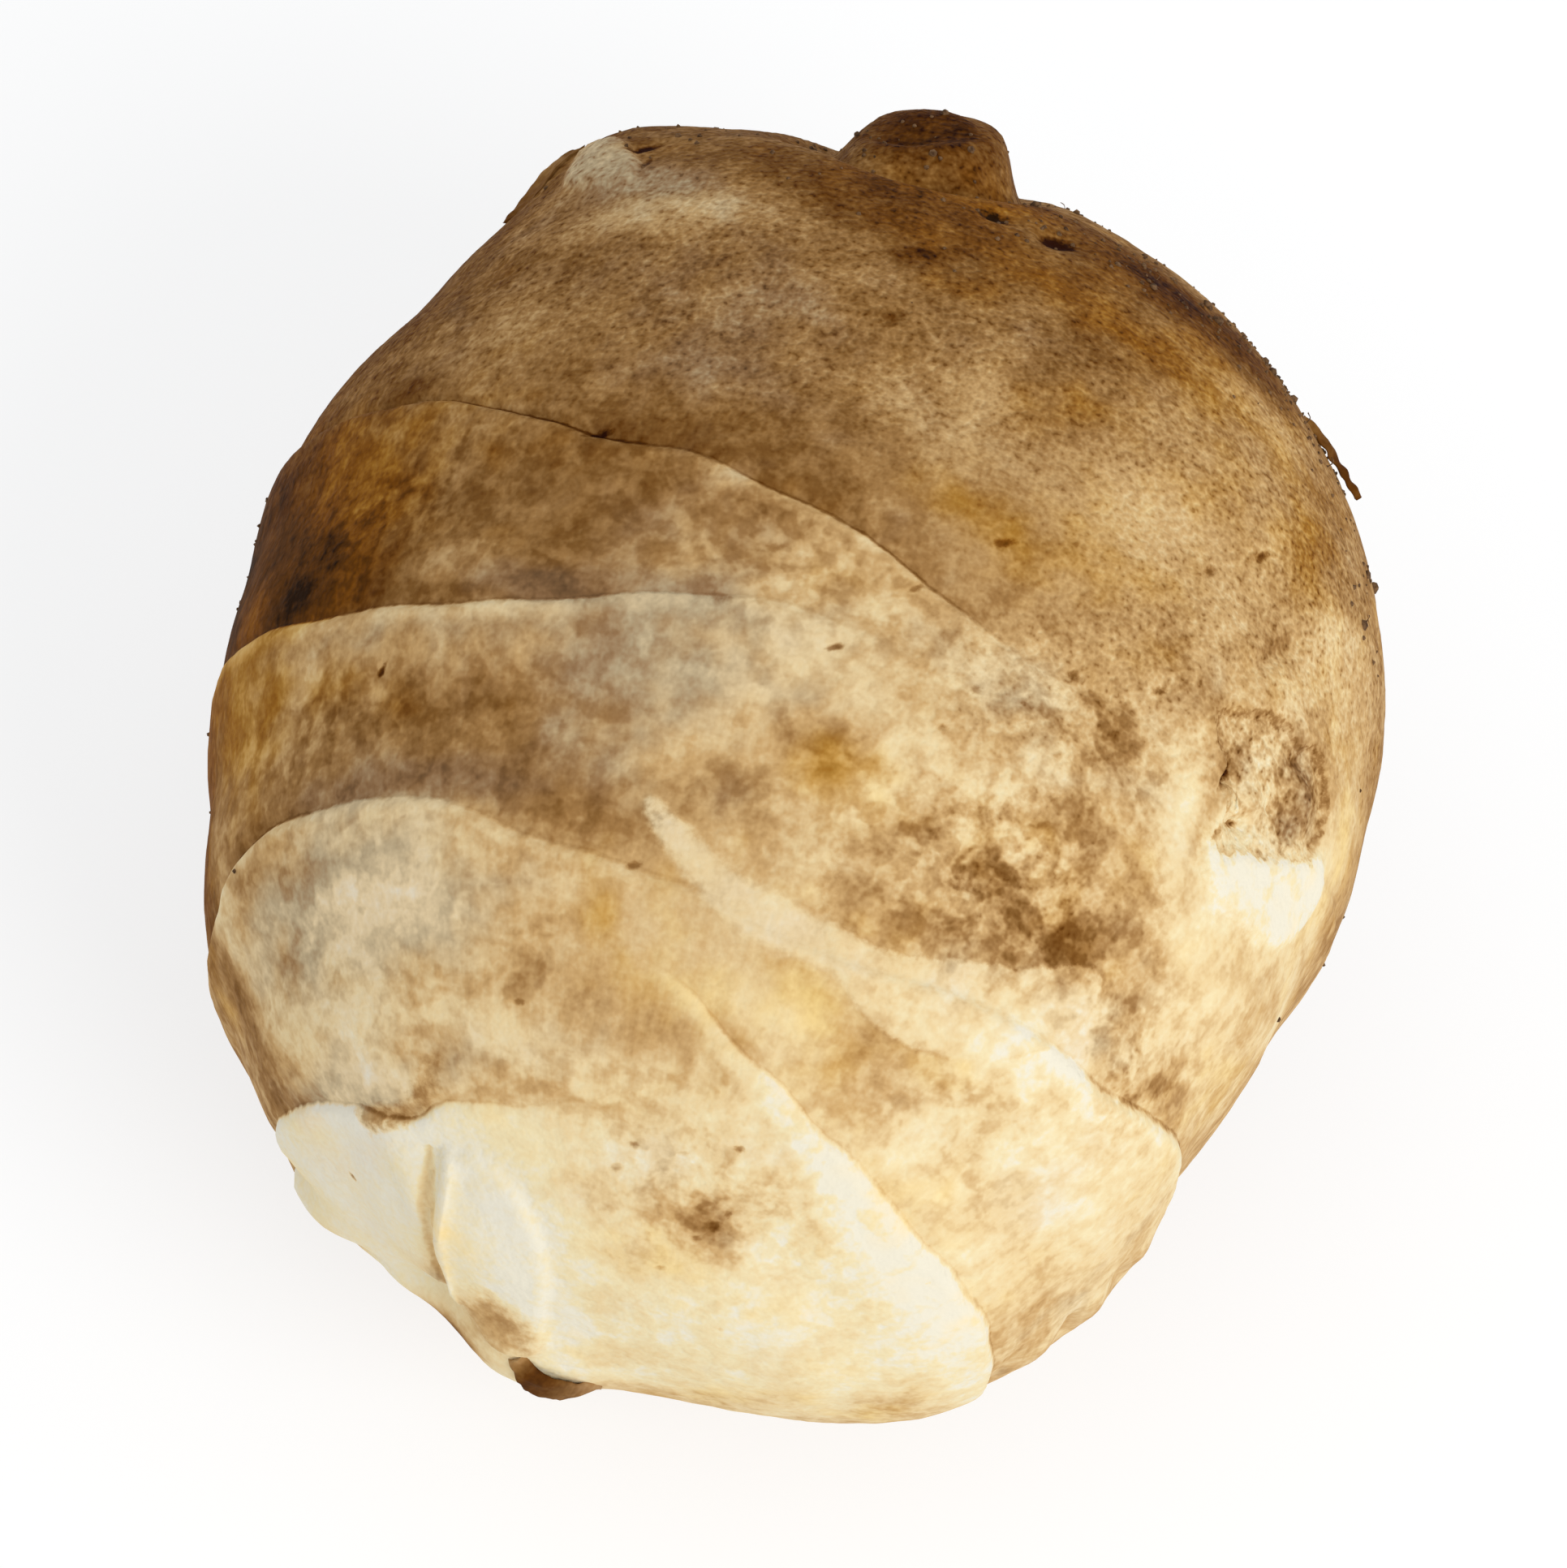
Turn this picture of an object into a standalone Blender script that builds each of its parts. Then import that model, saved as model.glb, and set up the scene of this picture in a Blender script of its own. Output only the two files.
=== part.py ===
"""One whole Jerusalem artichoke tuber, lying on its side.

The tuber is a swollen underground stem, so it is one solid. Its long axis runs along Y: the
growing tip, with its bud and scale leaves, is at -Y, and the stub of the runner that fed it is
at +Y. Places on it are given as seen from its middle: `along` is the angle from the tip
(0 degrees) to the runner end (180 degrees), and `around` is the angle round the long axis, from
0 on top towards +X.
"""

import math

import bmesh
import bpy
import numpy as np

# Driving dimensions, in metres.
WIDTH = 0.0484
LENGTH = 0.0536
HEIGHT = 0.0450
SQUARENESS = 2.15
TIP_TAPER = 0.05
REST_DEPTH = 0.0011
GRID = 25

# Swellings and hollows of the body: along, around, spread in degrees, height in metres.
LOBES = {
    "runner_end_left_shoulder": (142, -38, 20, 0.0012),
    "left_flank": (104, -84, 20, 0.0008),
    "tip_left_cheek": (50, -100, 30, 0.0008),
    "tip_right_flat": (70, 104, 24, -0.0019),
    "tip_right_cheek": (32, 108, 20, 0.0014),
    "tip_end": (6, 0, 24, 0.0002),
    "back_swelling": (95, 175, 50, 0.0008),
}

# Buds and stubs that stand out: along, around, radius and height in metres, and how square the
# end is.
KNOBS = {
    "runner_stub": (155, -3, 0.0032, 0.0022, 5.0),
    "side_bud": (142, -51, 0.0028, 0.0013, 2.0),
    "tip_bud": (14, -138, 0.0031, 0.0019, 2.0),
}

# Scars of the scale leaves, which ring the body: where each crosses the top and how far it
# leans, in degrees, then its depth and half width in metres.
SCARS = {
    "first": (112, -10, 0.0003, 0.0022),
    "second": (88, -6, 0.0003, 0.0022),
    "third": (66, -4, 0.0004, 0.0020),
    "fourth": (44, -4, 0.0004, 0.0018),
    "fifth": (24, -2, 0.0003, 0.0014),
}


def sphere_grid(cells):
    """Points and quads of a sphere made from a cube with evenly spread cells on each side."""
    mesh = bmesh.new()
    bmesh.ops.create_cube(mesh, size=2.0)
    bmesh.ops.subdivide_edges(mesh, edges=mesh.edges[:], cuts=cells - 1, use_grid_fill=True)
    for vert in mesh.verts:
        spread = [math.tan(c * math.pi / 4) for c in vert.co]
        vert.co = spread
        vert.co.normalize()
    return mesh


def direction(along, around):
    """Unit vector from the middle of the tuber towards a place on it."""
    tilt = math.radians(along)
    turn = math.radians(around)
    return np.array(
        (math.sin(tilt) * math.sin(turn), -math.cos(tilt), math.sin(tilt) * math.cos(turn))
    )


def body_radius(rays):
    """Distance from the middle to the plain rounded body along each ray."""
    half = np.array((WIDTH, LENGTH, HEIGHT)) / 2
    taper = 1 + TIP_TAPER * rays[:, 1:2]
    powers = np.abs(rays / (half * taper)) ** SQUARENESS
    return powers.sum(axis=1) ** (-1 / SQUARENESS)


def add_lobes(rays, radius):
    for along, around, spread, height in LOBES.values():
        angle = np.degrees(np.arccos(np.clip(rays @ direction(along, around), -1, 1)))
        radius = radius + height * np.exp(-((angle / spread) ** 2))
    return radius


def add_scars(rays, radius):
    along = np.degrees(np.arccos(np.clip(-rays[:, 1], -1, 1)))
    side = rays[:, 0] / np.maximum(np.hypot(rays[:, 0], rays[:, 2]), 1e-9)
    for crossing, lean, depth, half_width in SCARS.values():
        gap = np.radians(along - crossing - lean * side) * radius
        radius = radius - depth * np.exp(-((gap / half_width) ** 2))
    return radius


def add_knobs(rays, radius):
    for along, around, size, height, squareness in KNOBS.values():
        angle = np.arccos(np.clip(rays @ direction(along, around), -1, 1))
        reach = angle * radius / size
        radius = radius + height * np.exp(-(reach**squareness))
    return radius


def tuber_points(rays):
    """Surface points of the tuber, flattened where it rests, with the rest face at Z 0."""
    radius = body_radius(rays)
    radius = add_lobes(rays, radius)
    radius = add_scars(rays, radius)
    radius = add_knobs(rays, radius)
    points = rays * radius[:, None]
    floor = points[:, 2].min() + REST_DEPTH
    points[:, 2] = np.maximum(points[:, 2], floor)
    middle = (points.min(axis=0) + points.max(axis=0)) / 2
    return points - (middle[0], middle[1], floor)


def skin_material():
    material = bpy.data.materials.new("tuber_skin")
    material.use_nodes = True
    shader = material.node_tree.nodes["Principled BSDF"]
    shader.inputs["Base Color"].default_value = (0.47, 0.33, 0.17, 1.0)
    shader.inputs["Roughness"].default_value = 0.62
    shader.inputs["Metallic"].default_value = 0.0
    return material


def make_tuber():
    mesh = sphere_grid(GRID)
    rays = np.array([vert.co for vert in mesh.verts])
    for vert, place in zip(mesh.verts, tuber_points(rays)):
        vert.co = place
    bmesh.ops.recalc_face_normals(mesh, faces=mesh.faces[:])
    data = bpy.data.meshes.new("tuber")
    mesh.to_mesh(data)
    mesh.free()
    data.shade_smooth()
    data.materials.append(skin_material())
    tuber = bpy.data.objects.new("tuber", data)
    bpy.context.scene.collection.objects.link(tuber)
    return tuber


def main():
    for thing in list(bpy.data.objects):
        bpy.data.objects.remove(thing)
    make_tuber()


main()
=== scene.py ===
import math

import bmesh
import bpy
import numpy as np
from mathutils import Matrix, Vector, noise
from mathutils.bvhtree import BVHTree


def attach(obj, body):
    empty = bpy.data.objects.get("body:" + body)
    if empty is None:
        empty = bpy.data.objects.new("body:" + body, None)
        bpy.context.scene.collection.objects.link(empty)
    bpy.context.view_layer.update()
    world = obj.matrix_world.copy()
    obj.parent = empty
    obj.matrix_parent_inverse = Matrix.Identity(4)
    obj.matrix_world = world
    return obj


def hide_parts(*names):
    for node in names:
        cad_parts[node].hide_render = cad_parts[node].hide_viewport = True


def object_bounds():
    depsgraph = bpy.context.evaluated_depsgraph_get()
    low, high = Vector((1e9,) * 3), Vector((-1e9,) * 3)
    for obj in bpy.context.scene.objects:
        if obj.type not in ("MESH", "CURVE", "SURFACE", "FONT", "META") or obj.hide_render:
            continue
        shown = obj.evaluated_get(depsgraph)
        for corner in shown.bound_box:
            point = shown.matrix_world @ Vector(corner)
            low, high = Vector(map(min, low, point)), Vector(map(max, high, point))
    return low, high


# A jerusalem artichoke on a pale table. Lengths are in metres, or in mm where a note says so. Places on
# the tuber are a pair of angles seen from its middle: along runs from the growing tip (0) to the runner
# end (180), and around runs round the long axis, from 0 on top towards +X.

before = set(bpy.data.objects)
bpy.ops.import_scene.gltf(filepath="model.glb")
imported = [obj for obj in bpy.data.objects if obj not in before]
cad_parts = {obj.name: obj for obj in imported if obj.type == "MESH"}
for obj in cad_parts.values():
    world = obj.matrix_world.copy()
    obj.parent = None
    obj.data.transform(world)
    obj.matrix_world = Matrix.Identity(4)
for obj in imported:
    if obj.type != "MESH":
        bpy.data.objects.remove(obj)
cadLow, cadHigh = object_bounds()
middle = np.array((cadLow + cadHigh) / 2)
mm = 0.001
meanRadius = 24.5 * mm
ringRadius = 22 * mm        # half width of the tube that the unrolled patterns run on


def towards(along, around):
    tilt, turn = np.radians(along), np.radians(around)
    return np.stack([np.sin(tilt) * np.sin(turn), -np.cos(tilt), np.sin(tilt) * np.cos(turn)], axis=-1)


def placeAngles(rays):
    along = np.degrees(np.arccos(np.clip(-rays[:, 1], -1, 1)))
    around = np.degrees(np.arctan2(rays[:, 0], rays[:, 2]))
    return along, around


# the tuber unrolled, seamless all round, for patterns that run along it or round it
def unroll(along, around):
    turn = np.radians(around)
    sides = np.sin(turn) * ringRadius, np.cos(turn) * ringRadius
    return np.stack([*sides, np.radians(along) * meanRadius], axis=1)


def unit(vectors):
    return vectors / np.linalg.norm(vectors, axis=-1, keepdims=True)


def ease(low, high, value):
    part = np.clip((value - low) / (high - low), 0, 1)
    return part * part * (3 - 2 * part)


# 1 at the middle of a swelling and fading on both sides of it
def hump(distance, half):
    return np.exp(-((distance / half) ** 2))


# how far each ray is from a place, over the tuber
def arcTo(rays, along, around):
    return np.arccos(np.clip(rays @ towards(along, around), -1, 1)) * meanRadius


# a value that changes round the tuber: pairs of (around, value), joined smoothly and closed
def roundProfile(pairs, around):
    angles = np.arange(-180, 180)
    table = np.interp(angles, *np.array(sorted(pairs), float).T, period=360)
    reach = np.arange(-8, 9)
    weight = hump(reach, 3.0)
    smooth = sum(w * np.roll(table, r) for r, w in zip(reach, weight)) / weight.sum()
    return np.interp(around, angles, smooth, period=360)


# how much of a soft spot each ray holds: 1 at its middle, fading outwards
def spotField(rays, along, around, long, wide, turn=0):
    centre = towards(along, around)
    across = np.array([math.cos(math.radians(around)), 0, -math.sin(math.radians(around))])
    down = np.cross(centre, across)
    u, v = rays @ across * meanRadius, rays @ down * meanRadius
    c, s = math.cos(math.radians(turn)), math.sin(math.radians(turn))
    first, second = (u * c + v * s) / (long * mm), (v * c - u * s) / (wide * mm)
    return np.exp(-(first**2) - second**2) * (rays @ centre > 0)


# several soft spots together, each as strong as the last number in its row
def spotSum(rays, places):
    return sum(place[5] * spotField(rays, *place[:5]) for place in places)


# a line over the tuber through a few places, with its corners rounded off so many times
def lineOver(places, closed=False, rounds=3):
    line = towards(*np.array(places, float).T)
    for _ in range(rounds):
        here, ahead = (line, np.roll(line, -1, axis=0)) if closed else (line[:-1], line[1:])
        cut = np.stack([here * 0.75 + ahead * 0.25, here * 0.25 + ahead * 0.75], axis=1).reshape(-1, 3)
        line = cut if closed else np.concatenate([line[:1], cut, line[-1:]])
    return unit(line)


def outlineOf(patch):
    return lineOver(patch["outline"], closed=True, rounds=patch["rounds"])


# the distance of each ray from a closed line over the tuber, and the place on the line nearest to it
def nearestOn(rays, line):
    distance, nearest = np.full(len(rays), 0.1), rays.copy()
    close = np.nonzero((rays @ line.T).max(axis=1) > 0.93)[0]
    for a, b in zip(line, np.roll(line, -1, axis=0)):
        share = np.clip((rays[close] - a) @ (b - a) / ((b - a) @ (b - a)), 0, 1)
        foot = a + share[:, None] * (b - a)
        far = np.linalg.norm(rays[close] - foot, axis=1) * meanRadius
        better = far < distance[close]
        distance[close[better]] = far[better]
        nearest[close[better]] = foot[better]
    return distance, nearest


# how far inside a patch's outline each ray lies, and below 0 outside it
def outlineField(rays, patch):
    ring = outlineOf(patch)
    centre = unit(ring.mean(axis=0))
    first = unit(np.cross(centre, (0.3, 0.2, 1)))
    sheet = np.stack([first, np.cross(centre, first)], axis=1)
    spots, corners = rays @ sheet, ring @ sheet
    inside = np.zeros(len(rays), bool)
    for a, b in zip(corners, np.roll(corners, -1, axis=0)):
        above = (a[1] > spots[:, 1]) != (b[1] > spots[:, 1])
        crossing = a[0] + (spots[:, 1] - a[1]) * (b[0] - a[0]) / (b[1] - a[1] or 1e-12)
        inside ^= above & (spots[:, 0] < crossing)
    distance, _ = nearestOn(rays, ring)
    return np.where(inside & (rays @ centre > 0), distance, -distance)


def newObject(name, data):
    thing = bpy.data.objects.new(name, data)
    bpy.context.scene.collection.objects.link(thing)
    return thing


def newMaterial(name):
    material = bpy.data.materials.new(name)
    material.use_nodes = True
    return material, material.node_tree.nodes["Principled BSDF"]


# Camera, lights and table

shot = {
    "azimuth": 16,
    "elevation": 62,
    "distance": 0.33,
    "lens": 180,
    "clipStart": 0.01,
    "keyDirection": (0.62, -0.40, 0.62),
    "keyDistance": 0.75,
    "keySize": 0.42,
    "keyPower": 2.6,
    "keyColour": (1.0, 0.985, 0.96),
    "skyColour": (0.98, 0.99, 1.0),
    "skyStrength": 0.76,
    "tableSize": 4,
    "tableColour": (0.34, 0.345, 0.35),
    "tableRoughness": 0.8,
    "tableGlow": 0.66,
}


# something that looks at the middle of the tuber from afar
def lookingAt(name, data, direction, distance):
    thing = newObject(name, data)
    thing.location = Vector(middle) + direction * distance
    thing.rotation_euler = (-direction).to_track_quat("-Z", "Y").to_euler()
    return thing


def makeShot():
    turn, tilt = math.radians(shot["azimuth"]), math.radians(shot["elevation"])
    back = Vector((math.sin(turn) * math.cos(tilt), -math.cos(turn) * math.cos(tilt), math.sin(tilt)))
    view = bpy.data.cameras.new("camera")
    view.lens, view.clip_start = shot["lens"], shot["clipStart"]
    bpy.context.scene.camera = lookingAt("camera", view, back, shot["distance"])

    light = bpy.data.lights.new("key", "AREA")
    light.shape, light.size, light.energy = "DISK", shot["keySize"], shot["keyPower"]
    light.color = shot["keyColour"]
    lookingAt("key", light, Vector(shot["keyDirection"]).normalized(), shot["keyDistance"])

    world = bpy.data.worlds.new("paleStudio")
    world.use_nodes = True
    sky = world.node_tree.nodes["Background"]
    sky.inputs["Color"].default_value = (*shot["skyColour"], 1)
    sky.inputs["Strength"].default_value = shot["skyStrength"]
    bpy.context.scene.world = world
    bpy.context.scene.view_settings.view_transform = "Standard"

    bpy.ops.mesh.primitive_plane_add(size=shot["tableSize"])
    table = bpy.context.object
    table.name = "table"
    finish, shader = newMaterial("paleTable")
    shader.inputs["Base Color"].default_value = (*shot["tableColour"], 1)
    shader.inputs["Roughness"].default_value = shot["tableRoughness"]
    shader.inputs["Emission Color"].default_value = (1, 1, 1, 1)
    shader.inputs["Emission Strength"].default_value = shot["tableGlow"]
    table.data.materials.append(finish)
    print("camera, lights and table are up")


makeShot()


# The tuber's rings, stains and marks

# Leaf scars ring the tuber. course is where each runs: (around, along). The others are (around, how much):
# crease is how deep its groove is and how dark its line is, the line being painted shade and dirt in the
# crease, ledge is how far the skin on the tip side stands proud, in mm, crisp is how sharp the change of
# colour across it is, and rim and rimHighlightWidth are how pale and how wide, in mm, the band inside it is:
# pale skin with a painted highlight where the ledge's step catches the light.
scarRings = {
    "shoulderScar": {
        "course": [(-110, 105), (-76, 103), (-52, 102), (-42, 101), (-31, 98), (-22, 96), (-10, 96), (-4, 94),
                   (4, 92), (11, 90), (17, 87), (30, 84), (70, 86), (110, 92), (150, 98), (180, 101)],
        "crease": [(-110, 0.8), (-60, 1.0), (-36, 1.1), (-22, 1.2), (-14, 0.2), (-6, 0.5), (2, 0.6),
                   (12, 0.8), (18, 0.6), (24, 0.1), (70, 0.0), (120, 0.4), (180, 0.6)],
        "ledge": [(-110, 0.25), (-50, 0.30), (-5, 0.15), (20, 0.12), (40, 0.05), (90, 0.1), (180, 0.25)],
        "crisp": [(-100, 0.9), (0, 0.9), (18, 0.8), (32, 0.0), (80, 0.0), (110, 0.7), (180, 0.9)],
        "rim": [(-60, 0.0), (-20, 0.03), (-12, 0.16), (4, 0.14), (14, 0.10), (24, 0.0), (180, 0.0)],
        "rimHighlightWidth": [(-14, 1.2), (4, 0.6), (180, 0.5)],
    },
    "waistScar": {
        "course": [(-120, 82), (-90, 81), (-64, 79), (-48, 77), (-32, 76), (-22, 77), (-13, 79), (0, 81),
                   (20, 80), (60, 76), (100, 75), (140, 76), (180, 79)],
        "crease": [(-120, 0.4), (-60, 0.3), (-30, 0.35), (-10, 0.2), (4, 0.1), (20, 0.0), (80, 0.0),
                   (120, 0.4), (180, 0.5)],
        "ledge": [(-120, 0.2), (-40, 0.25), (0, 0.1), (25, 0.0), (80, 0.0), (120, 0.2), (180, 0.2)],
        "crisp": [(-120, 0.9), (-64, 0.9), (-8, 0.7), (6, 0.0), (100, 0.0), (125, 0.8), (180, 0.9)],
        "rim": [(-120, 0.1), (-60, 0.16), (-40, 0.18), (-10, 0.14), (4, 0.03), (20, 0.0), (110, 0.0),
                (180, 0.1)],
        "rimHighlightWidth": [(0, 0.9), (180, 0.9)],
    },
    "bellyScar": {
        "course": [(-120, 56), (-90, 54), (-76, 54), (-69, 57), (-57, 58), (-39, 57), (-32, 57), (-21, 54),
                   (-8, 52), (2, 51), (10, 50), (20, 50), (32, 51.5), (45, 53), (61, 54), (77, 57), (95, 58),
                   (120, 56), (150, 54), (180, 54)],
        "crease": [(-120, 0.5), (-78, 0.5), (-66, 0.9), (-54, 0.7), (-46, 0.1), (-20, 0.05), (-8, 0.3),
                   (0, 0.2), (8, 0.0), (40, 0.0), (50, 0.3), (75, 0.9), (110, 0.7), (180, 0.6)],
        "ledge": [(-120, 0.3), (-55, 0.35), (-20, 0.2), (10, 0.25), (40, 0.3), (75, 0.4), (120, 0.3),
                  (180, 0.3)],
        "crisp": [(-120, 0.9), (-20, 1.0), (6, 0.8), (14, 0.2), (34, 0.3), (44, 0.9), (90, 1.0), (180, 0.9)],
        "rim": [(-120, 0.05), (-80, 0.12), (-55, 0.14), (-30, 0.06), (0, 0.0), (40, 0.04), (60, 0.10),
                (80, 0.10), (110, 0.05), (180, 0.05)],
        "rimHighlightWidth": [(-100, 0.7), (0, 0.6), (60, 0.9), (180, 0.7)],
    },
    "rightLeafEdge": {
        "course": [(-180, 42), (-90, 44), (-10, 45), (4, 42), (10, 40), (16, 38), (23, 37), (31, 34.5),
                   (41, 34), (52, 33), (73, 33), (86, 34), (100, 35), (140, 38)],
        "crease": [(-60, 0.0), (0, 0.0), (8, 0.25), (30, 0.35), (60, 0.5), (86, 0.6), (120, 0.5), (150, 0.0)],
        "ledge": [(-60, 0.0), (0, 0.0), (10, 0.25), (40, 0.4), (90, 0.4), (120, 0.2), (150, 0.0)],
        "crisp": [(-60, 0.0), (-2, 0.0), (6, 1.0), (100, 1.0), (130, 0.8), (160, 0.0)],
        "rim": [(-60, 0.0), (-4, 0.0), (8, 0.10), (30, 0.16), (90, 0.16), (120, 0.08), (150, 0.0)],
        "rimHighlightWidth": [(0, 0.7), (20, 1.2), (40, 2.4), (70, 3.2), (100, 3.0), (180, 1.0)],
    },
    "leftLeafEdge": {
        "course": [(-180, 34), (-130, 38), (-100, 38), (-86, 36), (-69, 33), (-61, 31), (-55, 29), (-46, 27),
                   (-38, 29), (-22, 28), (-7, 29), (7, 29), (19, 31), (40, 26), (90, 24), (140, 27)],
        "crease": [(-180, 0.3), (-100, 0.3), (-80, 0.2), (-62, 0.4), (-52, 0.9), (-44, 0.9), (-34, 0.2),
                   (-10, 0.05), (20, 0.0), (120, 0.0)],
        "ledge": [(-180, 0.2), (-100, 0.3), (-60, 0.25), (-30, 0.10), (20, 0.0), (120, 0.0)],
        "crisp": [(-180, 0.7), (-100, 1.0), (-30, 0.9), (-10, 0.5), (14, 0.3), (24, 0.0), (140, 0.0)],
        "rim": [(-100, 0.03), (-40, 0.02), (0, 0.0), (180, 0.0)],
        "rimHighlightWidth": [(0, 0.6), (180, 0.6)],
    },
}

# How stained the skin is in the bands between the scars, from the runner end to the tip, as
# (around, stain): 0 is white flesh and 1 is nearly black.
bandStains = [
    [(-120, 0.68), (-80, 0.80), (-50, 0.69), (-20, 0.60), (10, 0.58), (30, 0.56), (45, 0.50), (66, 0.50),
     (90, 0.54), (180, 0.64)],
    [(-120, 0.72), (-80, 0.86), (-60, 0.76), (-40, 0.70), (-15, 0.56), (0, 0.46), (14, 0.42), (28, 0.42),
     (45, 0.40), (70, 0.39), (100, 0.46), (180, 0.62)],
    [(-120, 0.54), (-84, 0.66), (-66, 0.52), (-30, 0.46), (0, 0.36), (14, 0.36), (30, 0.34), (60, 0.30),
     (90, 0.38), (180, 0.50)],
    [(-120, 0.44), (-84, 0.56), (-66, 0.34), (-30, 0.34), (0, 0.32), (30, 0.26), (55, 0.18), (75, 0.22),
     (100, 0.34), (180, 0.44)],
    [(-120, 0.44), (-84, 0.56), (-66, 0.34), (-30, 0.34), (0, 0.30), (10, 0.20), (30, 0.14), (60, 0.12),
     (90, 0.14), (120, 0.28), (180, 0.42)],
    [(-120, 0.06), (-80, 0.03), (-50, 0.03), (-30, 0.14), (0, 0.22), (20, 0.20), (40, 0.14), (60, 0.12),
     (90, 0.14), (120, 0.22), (180, 0.28)],
]
bandMottle = (0.32, 0.44, 0.40, 0.40, 0.46, 0.42)       # how blotchy each band is
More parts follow.
